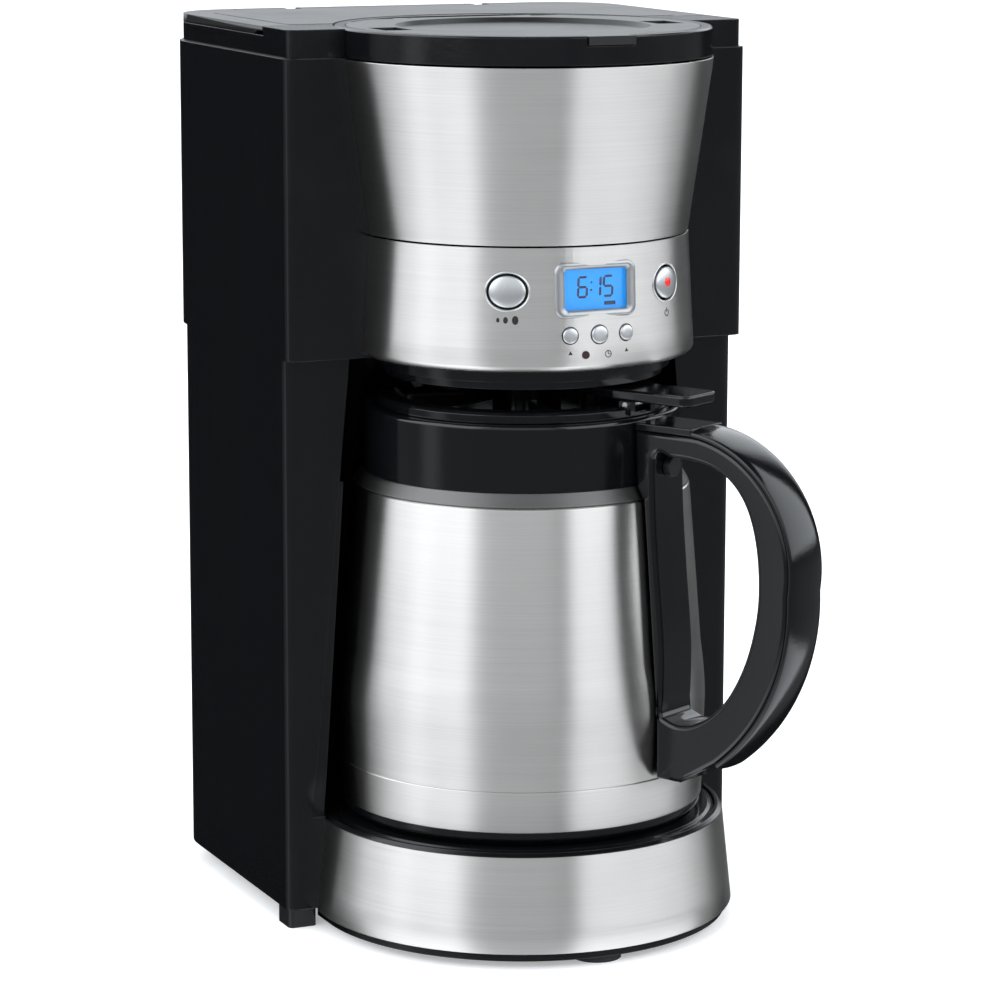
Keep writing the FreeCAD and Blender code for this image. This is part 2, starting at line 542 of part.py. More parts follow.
def make_top():
    """Frame on top of the column, round lid ring and the two lids with their pins."""
    rim = prism("frame_rim", plan("upper_half - 1.6", "1.5", "column_back - 1.6", "edge_round - 1",
                                  "rear_round - 1.6"), "top_seam", "frame_top")
    corners = prism("frame_corners", plan("upper_half - 1.6", "1.5", "lid_front - 0.5", "edge_round - 1", "0.2"),
                    "top_seam", "head_top")
    hole = rod("frame_round_hole", "ring_radius + 0.1", (0, 0, "top_seam - 5"), 40)
    fill = prism("frame_fill_hole", plan("upper_half - 9", "ring_radius + 6", "column_back - 13", "5",
                                         "rear_round - 12"), "top_seam - 5", "frame_top + 5")
    pin_y, pin_z = "column_back - reservoir_pin_in", "frame_top + 0.6"
    ease = box("frame_back_ease", ("-92", "92"), (pin_y + " - 5.2", "column_back + 5"),
               ("frame_top - 3.8", "frame_top + 5"))
    ears = [box("frame_ear_" + side, x, (pin_y + " - 2.4", pin_y + " + 2.4"), ("frame_top - 5", pin_z + " + 2.2"))
            for side, x in (("left", ("-47", "-41")), ("right", ("41", "47")))]
    bore = rod("frame_pin_bore", "pin_radius", ("-47", pin_y, pin_z), 94, FreeCAD.Vector(1, 0, 0))
    base = cut("frame_cut", join("frame_body", rim, corners), hole, fill, ease)
    finish("top_frame", cut("frame_bored", join("frame_with_ears", base, *ears), bore))

    lid_back = "column_back - 1.6"
    lid = prism("lid_plate", plan("upper_half - 1.6", "lid_front", lid_back, "0.5", "rear_round - 1.6"),
                "frame_top + 0.3", "head_top")
    crown = prism("lid_crown_plate", plan("upper_half - 14", "lid_front + 4", lid_back + " - 12", "6",
                                          "rear_round - 13"), "head_top - 0.5", "head_top + lid_crown")
    clear = rod("lid_ring_gap", "ring_radius + 0.5", (0, 0, "frame_top - 5"), 40)
    windows = [box("lid_ear_gap_" + side, x, (pin_y + " - 4.8", "column_back"), ("frame_top - 5", "head_top + 5"))
               for side, x in (("left", ("-47.4", "-40.6")), ("right", ("40.6", "47.4")))]
    barrel = rod("lid_barrel", "reservoir_pin_in - 1.7", ("-70", pin_y, pin_z), 140, FreeCAD.Vector(1, 0, 0))
    bored = rod("lid_pin_bore", "pin_radius + pin_play", ("-50", pin_y, pin_z), 100, FreeCAD.Vector(1, 0, 0))
    grip = box("lid_finger_dip", ("-upper_half", "-upper_half + 5"), ("lid_front - 1", "lid_front + 9"),
               ("frame_top", "frame_top + 1.8"))
    finish("reservoir_lid", cut("lid_cut", join("lid_body", lid, crown, barrel), clear, *windows, grip, bored))
    pin = rod("reservoir_pin_rod", "pin_radius", ("-47", pin_y, pin_z), 94, FreeCAD.Vector(1, 0, 0))
    finish("reservoir_lid_pin", pin)

    ring = turned("ring_turn", [
        ("round_lid_radius + fit_gap", "top_seam"), ("ring_radius", "top_seam"),
        ("ring_radius", "head_top - 0.6"), ("ring_radius - 0.6", "head_top"),
        ("round_lid_radius + fit_gap", "head_top")])
    seat = turned("ring_seat", [
        ("well_radius - 1", "top_seam"), ("round_lid_radius + 0.5", "top_seam"),
        ("round_lid_radius + 0.5", "top_seam + 3.5"), ("well_radius - 1", "top_seam + 3.5")])
    spot = ("basket_pin_y", "head_top - 3.2")
    ledge = box("ring_hinge_ledge", ("-31", "31"), (spot[0] + " + 6.4", "round_lid_radius + 1"),
                ("top_seam + 1", "head_top"))
    lugs = []
    for side, low, high in (("left", "-31", "-24.3"), ("right", "24.3", "31")):
        lugs += [box("lug_foot_" + side, (low, high), (spot[0] + " - 3.1", "round_lid_radius + 0.5"),
                     ("top_seam + 1", spot[1])),
                 box("lug_rear_" + side, (low, high), (spot[0] + " + 4.8", "round_lid_radius + 0.5"),
                     ("top_seam + 1", "head_top")),
                 rod("lug_eye_" + side, 3.1, (low, *spot), "6.7", FreeCAD.Vector(1, 0, 0))]
    inside = rod("ring_outside", "ring_radius - 0.5", (0, 0, "top_seam"), 40)
    added = overlap("ring_hinge", join("ring_hinge_parts", ledge, *lugs), inside)
    notch = box("ring_notch", ("tongue_middle - tongue_half - 0.4", "tongue_middle + tongue_half + 0.4"),
                ("-ring_radius - 5", "-round_lid_radius + 2"),
                ("head_top - 3.8", "head_top + 5"))
    pin_hole = rod("ring_pin_hole", "pin_radius", ("-31", *spot), 62, FreeCAD.Vector(1, 0, 0))
    rear = box("ring_rear_gap", ("-24.3", "24.3"), ("basket_pin_y - 10", spot[0] + " + 6.4"),
               ("top_seam - 1", "head_top + 5"))
    ring_body = cut("ring_cut", join("ring_body", ring, seat), rear, notch)
    finish("lid_ring", cut("ring_bored", join("ring_with_lugs", ring_body, added), pin_hole))

    disc = rod("round_plate", "round_lid_radius", (0, 0, "head_top - lid_thick"), "lid_thick")
    tongue = box("round_tongue", ("tongue_middle - tongue_half", "tongue_middle + tongue_half"),
                 ("-ring_radius - 0.4", "-round_lid_radius + 3"),
                 ("head_top - 3.4", "head_top"))
    trims = [box("round_trim_" + name, x, (spot[0] + back, "120"), ("head_top - 30", "head_top + 5"))
             for name, x, back in (("middle", ("-24.1", "24.1"), " - 3.1"), ("left", ("-90", "-24"), " - 5.2"),
                                   ("right", ("24", "90"), " - 5.2"))]
    rear_zone = box("round_relief_zone", ("-90", "90"), (spot[0] + " - lid_swing_zone", "120"),
                    ("head_top - 30", "head_top + 5"))
    kept = rod("round_relief_core", "round_lid_radius - lid_swing_room", (0, 0, "head_top - 40"), 60)
    trims.append(cut("round_relief", rear_zone, kept))
    knuckle = rod("round_knuckle", 3.1, ("-24", *spot), 48, FreeCAD.Vector(1, 0, 0))
    web = box("round_web", ("-24", "24"), (spot[0] + " - 4", spot[0]), (spot[1] + " - 1.8", spot[1] + " + 3.1"))
    dish = turned("round_dish", [
        (0, "head_top - 2.6"), (40, "head_top - 2.6"), (50, "head_top - 1.8"), (52, "head_top + 1"),
        (0, "head_top + 1")])
    dips = [box("round_dip_" + side, (middle + " - dip_half", middle + " + dip_half"), ("-14", "4"),
                ("head_top - 3.6", "head_top + 5"))
            for side, middle in (("left", "-dip_middle"), ("right", "dip_middle"))]
    lid_body = join("round_body", cut("round_cut", disc, *trims), tongue, knuckle, web)
    bored = rod("round_pin_bore", "pin_radius + pin_play", ("-40", *spot), 80, FreeCAD.Vector(1, 0, 0))
    finish("basket_lid", cut("round_bored", lid_body, dish, *dips, bored))
    finish("basket_lid_pin", rod("basket_pin_rod", "pin_radius", ("-31", *spot), 62, FreeCAD.Vector(1, 0, 0)))


def make_brewing():
    """Steel skins of the head, the filter basket, its drip valve and the shower head."""
    lean = "(band_foot_radius - waist_radius)"
    rear = box("behind_head", ("-120", "120"), ("0", "200"), ("0", "500"))
    cone = turned("cone_turn", [
        ("waist_radius - 0.2 - sheet_steel", "waist + 0.35"), ("waist_radius - 0.2", "waist + 0.35"),
        ("cone_top_radius", "top_seam - 0.8"), ("cone_top_radius - sheet_steel", "top_seam - 0.8")])
    finish("steel_cone", cut("cone_cut", cone, rear))
    band = turned("control_turn", [
        ("waist_radius - sheet_steel", "waist - 0.35"), ("band_foot_radius - sheet_steel", "low_seam + 4"),
        ("band_foot_radius - sheet_steel - 2.2", "low_seam + 1.4"),
        ("band_foot_radius - sheet_steel - 2.2", "low_seam + 0.6"),
        ("band_foot_radius - 2.4", "low_seam + 0.6", 3), ("band_foot_radius", "low_seam + 3"),
        ("waist_radius", "waist - 0.35")])
    holes = [tilted(oval("hole_big_" + side, "big_button_height", "big_button_half + 0.9",
                         "big_button_rise + 0.9"), angle)
             for side, angle in (("left", "-strength_angle"), ("right", "power_angle"))]
    for name, angle, radius in SMALL_BUTTONS:
        holes.append(tilted(rod("hole_" + name, radius + " + 0.4", (0, 0, "small_button_height"), 90, FRONT),
                            angle))
    holes.append(tilted(rod("hole_lens", "lens_radius + 0.05", (0, 0, "lens_height"), 90, FRONT), "-lens_angle"))
    window = new_body("screen_hole")
    pad(window, outline(new_sketch(window), rounded_rectangle(
        "screen_middle", "screen_height", "screen_half + 1.6", "screen_rise + 1.6", "2")), 90)
    holes.append(window)
    finish("control_band", cut("control_band_cut", band, rear, *holes))

    basket = turned("basket_turn", [
        (4.3, "well_floor + 5"), (38, "well_floor + 5"), ("well_radius - wall - 5", "well_floor + 60"),
        ("well_radius - wall - 1", "top_seam - 12"), ("well_radius - wall - 1", "top_seam - 4"),
        ("well_radius - wall - 3", "top_seam - 4"), ("well_radius - wall - 3", "top_seam - 12"),
        ("well_radius - wall - 7", "well_floor + 61"), (36.5, "well_floor + 7"), (4.3, "well_floor + 7")])
    feet = rod("basket_foot", 36, (0, 0, "well_floor + wall"), "3.5")
    hollow = rod("basket_foot_hole", 31, (0, 0, "well_floor"), "8")
    finish("filter_basket", join("basket_body", basket, cut("basket_ring", feet, hollow)))
    floor = "well_floor + 7"
    finish("drip_valve", turned("valve_turn", [
        (0, "valve_tip"), (3, "valve_tip"), (4, "valve_tip + 2"), (4, floor + " + 0.1"), (7, floor + " + 0.1"),
        (7, floor + " + 1.6"), (0, floor + " + 1.6")]))
    cage = turned("cage_turn", [
        (8, floor), (9.5, floor), (9.5, floor + " + 15.5"), (0, floor + " + 15.5"), (0, floor + " + 14"),
        (8, floor + " + 14")])
    slots = [box("cage_slot_%d" % index, *spans, (floor + " + 1", floor + " + 11"))
             for index, spans in enumerate(((("-20", "20"), ("-3", "3")), (("-3", "3"), ("-20", "20"))))]
    finish("valve_cage", cut("cage_cut", cage, *slots))
    finish("drip_spring", spring("drip_coil", "5.6", "0.5", floor + " + 2.2", "11", "2.2"))
    head = rod("shower_disc", 24, (0, 0, "top_seam + 0.4"), 3)
    arm = box("shower_arm", ("-4", "4"), ("0", "well_radius + 5.6"), ("top_seam + 0.4", "top_seam + 3.4"))
    holes = [tilted(rod("shower_hole_%d" % index, 1.5, (0, "-15", "top_seam - 5"), 20), 45 * index + 22.5)
             for index in range(8)]
    finish("shower_head", cut("shower_cut", join("shower_body", head, arm), *holes))


def spring(name, radius, wire, low, height, pitch):
    """Return a coil spring about the brew axis."""
    body = new_body(name)
    sketch = circle(new_sketch(body), radius, low, wire)
    coil = body.newObject("PartDesign::AdditiveHelix", name + "_helix")
    coil.Profile = sketch
    coil.ReferenceAxis = (sketch, ["V_Axis"])
    coil.Mode = "pitch-height-angle"
    bind(coil, Pitch=pitch, Height=height)
    return body


SMALL_BUTTONS = [("hour_button", "-small_button_angle + 1.5", "small_button_radius"),
                 ("program_button", "1.5", "mid_button_radius"),
                 ("minute_button", "small_button_angle + 1.5", "small_button_radius")]


def skin(name, inner, outer, low, high, angle="70"):
    """Return a curved plate that follows the control band between two heights."""
    slope = "(band_foot_radius - waist_radius) / (waist - low_seam - 3)"
    at_low = "(band_foot_radius - (%s - low_seam - 3) * %s)" % (low, slope)
    at_high = "(band_foot_radius - (%s - low_seam - 3) * %s)" % (high, slope)
    return turned(name, [("%s + %s" % (at_low, inner), low), ("%s + %s" % (at_low, outer), low),
                         ("%s + %s" % (at_high, outer), high), ("%s + %s" % (at_high, inner), high)])


def make_controls():
    for label, angle in (("strength_button", "-strength_angle"), ("power_button", "power_angle")):
        plate = skin(label + "_skin", "-2.6", "1.2", "big_button_height - 9", "big_button_height + 9")
        finish(label, overlap(label + "_shape", plate, oval(label + "_oval", "big_button_height",
                                                            "big_button_half", "big_button_rise")), angle)
    for label, angle, radius in SMALL_BUTTONS:
        plate = skin(label + "_skin", "-2.6", "1", "small_button_height - 5", "small_button_height + 5")
        finish(label, overlap(label + "_shape", plate, rod(label + "_rod", radius, (0, 0, "small_button_height"),
                                                           90, FRONT)), angle)
    plate = skin("lens_skin", "-4.5", "0.4", "lens_height - 3", "lens_height + 3")
    finish("status_lens", overlap("lens_shape", plate, rod("lens_rod", "lens_radius", (0, 0, "lens_height"),
                                                           90, FRONT)), "-lens_angle")
    low, high = "screen_height - bezel_rise - 1", "screen_height + bezel_rise + 1"
    frames = {}
    for name, half, rise, corner in (("bezel", "bezel_half", "bezel_rise", "4"),
                                     ("opening", "screen_half", "screen_rise", "1"),
                                     ("stem", "screen_half + 1.5", "screen_rise + 1.5", "1.9"),
                                     ("pane", "screen_half + 1.5", "screen_rise + 1.5", "1.9")):
        frames[name] = new_body("screen_" + name)
        pad(frames[name], outline(new_sketch(frames[name]), rounded_rectangle(
            "screen_middle", "screen_height", half, rise, corner)), 90)
    face = overlap("bezel_face", skin("bezel_skin", "0.02", "1.1", low, high), frames["bezel"])
    neck = overlap("bezel_neck", skin("bezel_neck_skin", "-1", "0.5", low, high), frames["stem"])
    finish("screen_bezel", cut("bezel_cut", join("bezel_body", face, neck), frames["opening"]))
    finish("screen_window", overlap("window_shape", skin("window_skin", "-1.9", "-1.05", low, high), frames["pane"]))
    finish("screen_panel", box("panel_box", ("screen_middle - screen_half - 1.5",
                                             "screen_middle + screen_half + 1.5"),
                               ("-board_radius - board_thick - 1", "-board_radius - board_thick - 0.1"),
                               ("screen_height - 9.4", "screen_height + 9.4")))
    board = turned("board_turn", [
        ("board_radius", "low_seam + wall + 1"), ("board_radius + board_thick", "low_seam + wall + 1"),
        ("board_radius + board_thick", "waist - 1"), ("board_radius", "waist - 1")])
    wedge = box("board_span", ("-50", "50"), ("-80", "-board_radius * 0.7"), ("0", "400"))
    finish("control_board", overlap("board_shape", board, wedge))
    inner = "-board_radius - board_thick"
    switches = []
    for name, angle, height in (("strength", "-strength_angle", "big_button_height"),
                                ("power", "power_angle", "big_button_height"),
                                *((label, turn, "small_button_height") for label, turn, _ in SMALL_BUTTONS)):
        switches.append(tilted(box("switch_" + name, ("-2.4", "2.4"), (inner + " - 2", inner + " + 0.1"),
                                   (height + " - 2.4", height + " + 2.4")), angle))
    trim = rod("switch_trim", "board_radius + board_thick", (0, 0, "low_seam"), 100)
    finish("tact_switches", cut("switch_cut", gathered("switch_set", *switches), trim))


# ---------------------------------------------------------------- inside the column
def hose(label, points, bend):
    """Make a hose along straight runs that tangent arcs of one radius join."""
    spots = [FreeCAD.Vector(*[number(part) for part in point]) for point in points]
    edges, start = [], spots[0]
    for before, corner, after in zip(spots, spots[1:], spots[2:]):
        arrive, leave = (corner - before).normalize(), (after - corner).normalize()
        turn = acos(arrive.dot(leave))
        reach = bend * tan(turn / 2)
        first, last = corner - arrive * reach, corner + leave * reach
        middle = corner + (leave - arrive).normalize() * (bend / cos(turn / 2) - bend)
        edges += [Part.LineSegment(start, first).toShape(), Part.Arc(first, middle, last).toShape()]
        start = last
    edges.append(Part.LineSegment(start, spots[-1]).toShape())
    path = Part.Wire(edges)
    along = (spots[1] - spots[0]).normalize()
    walls = [path.makePipeShell([Part.Wire(Part.makeCircle(radius, spots[0], along))], True, False)
             for radius in (number("hose_radius"), number("hose_radius") - 1.4)]
    item = doc.addObject("Part::Feature", label + "_tube")
    item.Shape = walls[0].cut(walls[1])
    finish(label, item)


def make_internals():
    """Heater, thermostat, fuse, hoses and power board."""
    body = new_body("heater_bend")
    turn = body.newObject("PartDesign::Revolution", "heater_turn")
    turn.Profile = circle(new_sketch(body), "heater_radius", "heater_height", "heater_thick")
    turn.ReferenceAxis = (turn.Profile[0], ["V_Axis"])
    turn.Angle = 360
    front = box("heater_gap", ("-80", "80"), ("0", "90"), ("0", "60"))
    finish("heater_tube", cut("heater_cut", body, front))
    finish("heater_mount", box("heater_block", ("-12", "12"), ("-heater_radius - 6", "-heater_radius + 6"),
                               ("foot_size", "heater_height - heater_thick")))
    finish("thermostat", rod("thermostat_can", 8, (0, "-heater_radius", "heater_height + heater_thick"), 5))
    finish("thermal_fuse", rod("fuse_can", 2.5, (-11, "-heater_radius - 9", "foot_size + 4"), 22,
                               FreeCAD.Vector(1, 0, 0)))
    level, under = "heater_height", "top_seam + 0.4"
    hose("feed_hose", [(0, "outlet_y", "tank_floor - 10.05"), (0, "outlet_y", level),
                       ("heater_radius", "outlet_y", level), ("heater_radius", 0.05, level)], 14)
    hose("riser_hose", [("-heater_radius", 0.05, level), ("-heater_radius", "riser_y", level),
                        ("-riser_x", "riser_y", "level_room"), ("-riser_x", "riser_y", "low_seam + 8.6"),
                        (0, "well_radius + 3.5", "low_seam + 8.6"), (0, "well_radius + 3.5", under)], 9)
    board = box("power_plate", ("-45", "45"), ("128", "129.6"), ("70", "150"))
    relay = box("power_relay", ("-30", "-8"), ("114", "128"), ("80", "98"))
    can = rod("power_can", 8, (20, 108, 120), 20, -FRONT)
    finish("power_board", join("power_body", board, relay, can))


# ---------------------------------------------------------------- carafe
def carafe_outside(extra="0"):
    """Return the (radius, height) corners of the carafe's steel skin from its foot up, wider by extra."""
    corners = [("steel_low_radius", "steel_low"), ("belly_radius - 0.5", "foot_seam - 0.4"),
               ("belly_radius - 0.5", "foot_seam + 0.4"), ("belly_radius", "foot_seam + 0.9"),
               ("belly_radius", "belly_top", "belly_round + " + extra),
               ("belly_radius - belly_lean", "belly_top + 24"), ("steel_high_radius", "steel_high")]
    return [("%s + %s" % (corner[0], extra), *corner[1:]) for corner in corners]


def make_carafe():
    inside = carafe_outside("-sheet_steel")[::-1]
    inside[1] = (*inside[1][:2], "-belly_round + sheet_steel")
    inside[2] = inside[2][:2]
    inside[-1] = (inside[-1][0], "steel_low + sheet_steel")
    finish("carafe_shell", turned("carafe_shell_turn", carafe_outside() + inside + [
        (0, "steel_low + sheet_steel"), (0, "steel_low")]))
    gap = "(sheet_steel + liner_space)"
    vessel_out = [(0, "steel_low + 6"), ("steel_low_radius - 8", "steel_low + 6"),
                  ("belly_radius - 1 - %s" % gap, "steel_low + 16"), ("belly_radius - 1 - %s" % gap, "belly_top"),
                  ("steel_high_radius - %s" % gap, "steel_high - 6"), ("mouth_radius + 2", "ring_high - 1"),
                  ("mouth_radius + 2", "collar_high - 3")]
    vessel_in = [("mouth_radius + 2 - sheet_steel", "collar_high - 3"),
                 ("mouth_radius + 2 - sheet_steel", "ring_high - 1.4"),
                 ("steel_high_radius - %s - sheet_steel" % gap, "steel_high - 6.4"),
                 ("belly_radius - 1.8 - %s" % gap, "belly_top"),
                 ("belly_radius - 1.8 - %s" % gap, "steel_low + 16.6"),
                 ("steel_low_radius - 8.4", "steel_low + 6.8"), (0, "steel_low + 6.8")]
    finish("carafe_liner", turned("carafe_liner_turn", vessel_out + vessel_in))
    finish("carafe_foot", turned("carafe_foot_turn", [
        (0, "cap_low + 1"), ("steel_low_radius - 9", "cap_low + 1"), ("steel_low_radius - 8", "cap_low"),
        ("steel_low_radius - 3.2", "cap_low"), ("steel_low_radius - 0.6", "cap_low + 2.6"),
        ("steel_low_radius - 0.6", "steel_low"), ("steel_low_radius - 4", "steel_low"),
        ("steel_low_radius - 6", "cap_low + 3"), (0, "cap_low + 3")]))
    finish("carafe_ring", turned("carafe_ring_turn", [
        ("steel_high_radius - 8", "steel_high"), ("steel_high_radius - 0.1", "steel_high"),
        ("collar_radius + 0.2", "ring_high"), ("steel_high_radius - 8", "ring_high")]))
    collar = turned("collar_turn", [
        ("mouth_radius + 2", "ring_high"), ("mouth_radius + 4.5", "ring_high"),
        ("mouth_radius + 4.5", "collar_high - 5.5"), ("collar_radius - 2.8", "collar_high - 5.5"),
        ("collar_radius - 2.8", "ring_high"), ("collar_radius - 0.3", "ring_high"),
        ("collar_radius - 0.3", "collar_high - 1"), ("collar_radius - 1.3", "collar_high"),
        ("mouth_radius + 6", "collar_high"), ("mouth_radius + 6", "collar_high - 3"),
        ("mouth_radius + 2", "collar_high - 3")])
    hole = rod("collar_screw_hole", "screw_radius + 0.5", (0, 0, "handle_screw_height"), 80, FRONT)
    finish("carafe_collar", cut("collar_cut", collar, tilted(hole, "handle_angle")))
    make_pour_lid()
    make_handle()


def make_pour_lid():
    plug = "mouth_radius + 2 - sheet_steel - fit_gap"
    lid = turned("pour_lid_turn", [
        (0, "collar_high - 12"), (plug, "collar_high - 12"), (plug, "collar_high - 2.7"),
        ("mouth_radius + 6 - fit_gap", "collar_high - 2.7"), ("mouth_radius + 6 - fit_gap", "collar_high + fit_gap"),
        ("pour_lid_radius", "collar_high + fit_gap"), ("pour_lid_radius", "pour_lid_top - 1.2"),
        ("pour_lid_radius - 1.2", "pour_lid_top"), ("pour_lid_radius - 8", "pour_lid_top"),
        ("mouth_radius - 4", "collar_high - 3"), (0, "collar_high - 6")])
    ribs = [tilted(box("lid_rib_%d" % turn, ("-2", "2"), ("2.5 - mouth_radius", "-24"),
                       ("collar_high - 8", "pour_lid_top - 0.6")), turn) for turn in range(72, 349, 46)]
    tower = rod("lid_tower", 7, (0, 0, "collar_high - 8"), "tower_top - collar_high + 8")
    drain = rod("lid_drain", 4.5, (0, 0, "collar_high - 20"), 40)
    ears = [box("lid_ear_" + side, x, ("-lever_pivot - 3", "-lever_pivot + 3"), ("collar_high + 1", "lever_low - 0.6"))
            for side, x in (("left", ("-8.3", "-5.3")), ("right", ("5.3", "8.3")))]
    plug_y = "plug_inset - mouth_radius"
    guide = rod("lid_guide", 9, (0, plug_y, "collar_high - 12"), "9.5")
    ear_set = tilted(gathered("lid_ears", *ears, guide), "handle_angle")
    bore = rod("lid_guide_bore", 5, (0, plug_y, "collar_high - 30"), 60)
    slot = box("lid_lug_room", ("-5.3", "5.3"), ("-lever_pivot - 3.2", "-lever_pivot + 3.2"),
               ("lever_pin_height - 3", "lever_low + 10"))
    pin_bore = rod("lid_pin_bore_hole", "pin_radius", ("-8.3", "-lever_pivot", "lever_pin_height"), 16.6,
                   FreeCAD.Vector(1, 0, 0))
    tools = tilted(gathered("lid_tools", bore, slot, pin_bore), "handle_angle")
    spout = box("lid_spout", ("-9", "9"), ("30", "80"), ("collar_high + 1.5", "pour_lid_top + 5"))
    spout_set = tilted(gathered("lid_spout_set", spout), "handle_angle")
    body = cut("pour_lid_solid", join("pour_lid_body", lid, tower, *ribs, ear_set), drain, tools, spout_set)
    finish("carafe_lid", body)
    finish("lid_seal", turned("lid_seal_turn", [
        (plug + " - 4", "collar_high - 14"), (plug, "collar_high - 14"), (plug, "collar_high - 12"),
        (plug + " - 4", "collar_high - 12")]))
    valve = turned("pour_valve_turn", [
        (0, "collar_high - 10"), (3, "collar_high - 10"), (4.8, "collar_high - 8"), (4.8, "collar_high - 2.4"),
        (7.5, "collar_high - 2.4"), (7.5, "collar_high - 1"), (3, "collar_high - 1"), (3, "lever_low - 0.3"),
        (0, "lever_low - 0.3")])
    shifted = gathered("pour_valve_place", valve)
    bind(valve, Placement__Base__y=plug_y)
    finish("pour_valve", shifted, "handle_angle")
    half = "handle_width / 2"
    lever = prism("lever_plate", [
        ("-(%s)" % half, "-lever_reach + lever_corner", "lever_corner"),
        ("-(%s) + lever_corner" % half, "-lever_reach"),
        ("%s - lever_corner" % half, "-lever_reach", "lever_corner"), (half, "-lever_reach + lever_corner"),
        (half, "-lever_pivot + 4"), ("7", plug_y + " + lever_past_plug"), ("-7", plug_y + " + lever_past_plug"),
        ("-(%s)" % half, "-lever_pivot + 4")], "lever_low", "lever_low + lever_thick")
    lug = box("lever_lug", ("-3", "3"), ("-lever_pivot - 2.4", "-lever_pivot + 2.4"),
              ("lever_pin_height - 2.2", "lever_low + 1"))
    hole = rod("lever_hole", "pin_radius + pin_play", ("-20", "-lever_pivot", "lever_pin_height"), 40,
               FreeCAD.Vector(1, 0, 0))
    finish("thumb_lever", cut("lever_cut", join("lever_body", lever, lug), hole), "handle_angle")
    finish("lever_pin", rod("lever_pin_rod", "pin_radius", ("-8.3", "-lever_pivot", "lever_pin_height"), 16.6,
                            FreeCAD.Vector(1, 0, 0)), "handle_angle")


def make_handle():
    """Handle drawn in its own upright plane, x outwards, then turned to its place."""
    crown, waist, base = "handle_top", "handle_waist", "handle_low"
    reach, inner = "handle_reach", "handle_reach - grip_depth"

    def loop(name, inset, width):
        """Return the outside of the handle, drawn in by inset."""
        return slab(name, [
            ("60", base), ("88", base), ("107 - %s * 0.6" % inset, "handle_low + 8 + %s * 0.6" % inset, "88"),
            ("%s - %s" % (reach, inset), waist, "54"), ("92", "%s - %s" % (crown, inset)),
            ("60", "%s - %s" % (crown, inset))], width)

    opening = slab("handle_opening", [
        ("77", "95"), ("93", "94", "62"), (inner, waist, "38.5"), ("93", "handle_top - 13"),
        ("78", "handle_top - 13"), ("72.5", "handle_top - 9"), ("74", "handle_top - 40"), ("79.5", "125")], 40)
    envelope = turned("handle_envelope", [
        (0, 0), ("steel_low_radius + 0.02", 0), *carafe_outside("0.02"),
        ("collar_radius + 0.4", "ring_high"), ("collar_radius - 0.3", "ring_high"), ("collar_radius - 0.3", 300),
        (0, 300)])
    def screw_rod(name, radius, start, length):
        return rod(name, radius, (start, 0, "handle_screw_height"), length, FreeCAD.Vector(1, 0, 0))

    bore = screw_rod("handle_bore", "screw_radius + 0.5", 60, 20)
    body = cut("handle_body_cut", loop("handle_inside", "cover_thick", "handle_width"), opening, envelope, bore)
    screw = join("handle_screw_body", screw_rod("handle_shank", "screw_radius + 0.5", "collar_radius - 2.8", 12),
                 screw_rod("handle_head", 4, 73.9, 3))
    finish("handle_screw", screw, "handle_angle - 90")
    finish("handle_body", body, "handle_angle - 90")
    band = box("cover_span", ("92", "200"), ("-40", "40"), ("handle_low + 7", "400"))
    cover = cut("cover_shape", loop("handle_outside", "0", "handle_width - 0.4"),
                loop("handle_core", "cover_thick", "handle_width + 4"))
    finish("handle_cover", overlap("cover_cut", cover, band), "handle_angle - 90")
    top = slab("handle_pad_shape", [
        ("collar_radius - 0.3", "handle_top - cover_thick"), ("92", "handle_top - cover_thick"),
        ("92", "handle_top"), ("collar_radius - 0.3", "handle_top")], "handle_width - 0.4")
    finish("handle_top_pad", top, "handle_angle - 90")


# ---------------------------------------------------------------- document
def check_document():
    """Raise if any object failed or any piece is missing, empty or invalid."""
    failed = [item.Name for item in doc.Objects if {"Invalid", "Error"} & set(item.State)]
    if failed:
        raise RuntimeError("failed objects: " + ", ".join(failed))
    for label, item in nodes.items():
        if item.Shape.isNull() or not item.Shape.isValid() or item.Shape.Volume < 1:
            raise RuntimeError("%s has no valid shape" % label)


def export_pieces():
    os.makedirs("parts", exist_ok=True)
    for label, item in nodes.items():
        item.Shape.exportStep("parts/%s.step" % label)
        print("%-20s solids %d volume %.0f" % (label, len(item.Shape.Solids), item.Shape.Volume))


make_lower_housing()
make_feet()
make_base()
make_head()
make_tank()
make_top()
make_brewing()
make_controls()
make_internals()
make_carafe()
doc.recompute()
check_document()
export_pieces()
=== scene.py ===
"""Looks of the drip coffee maker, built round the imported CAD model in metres.

Each sub-assembly is a class that holds its sizes in millimetres about the brew axis, the upright
line on which the brew head, the base and the carafe are centred.  +Z is up and the front faces -Y.
"""

import logging
from dataclasses import dataclass
from enum import Enum
from math import atan2, cos, hypot, pi, radians, sin, sqrt, tan
from typing import Callable, Iterable, Sequence

import bmesh
import bpy
from mathutils import Matrix, Vector


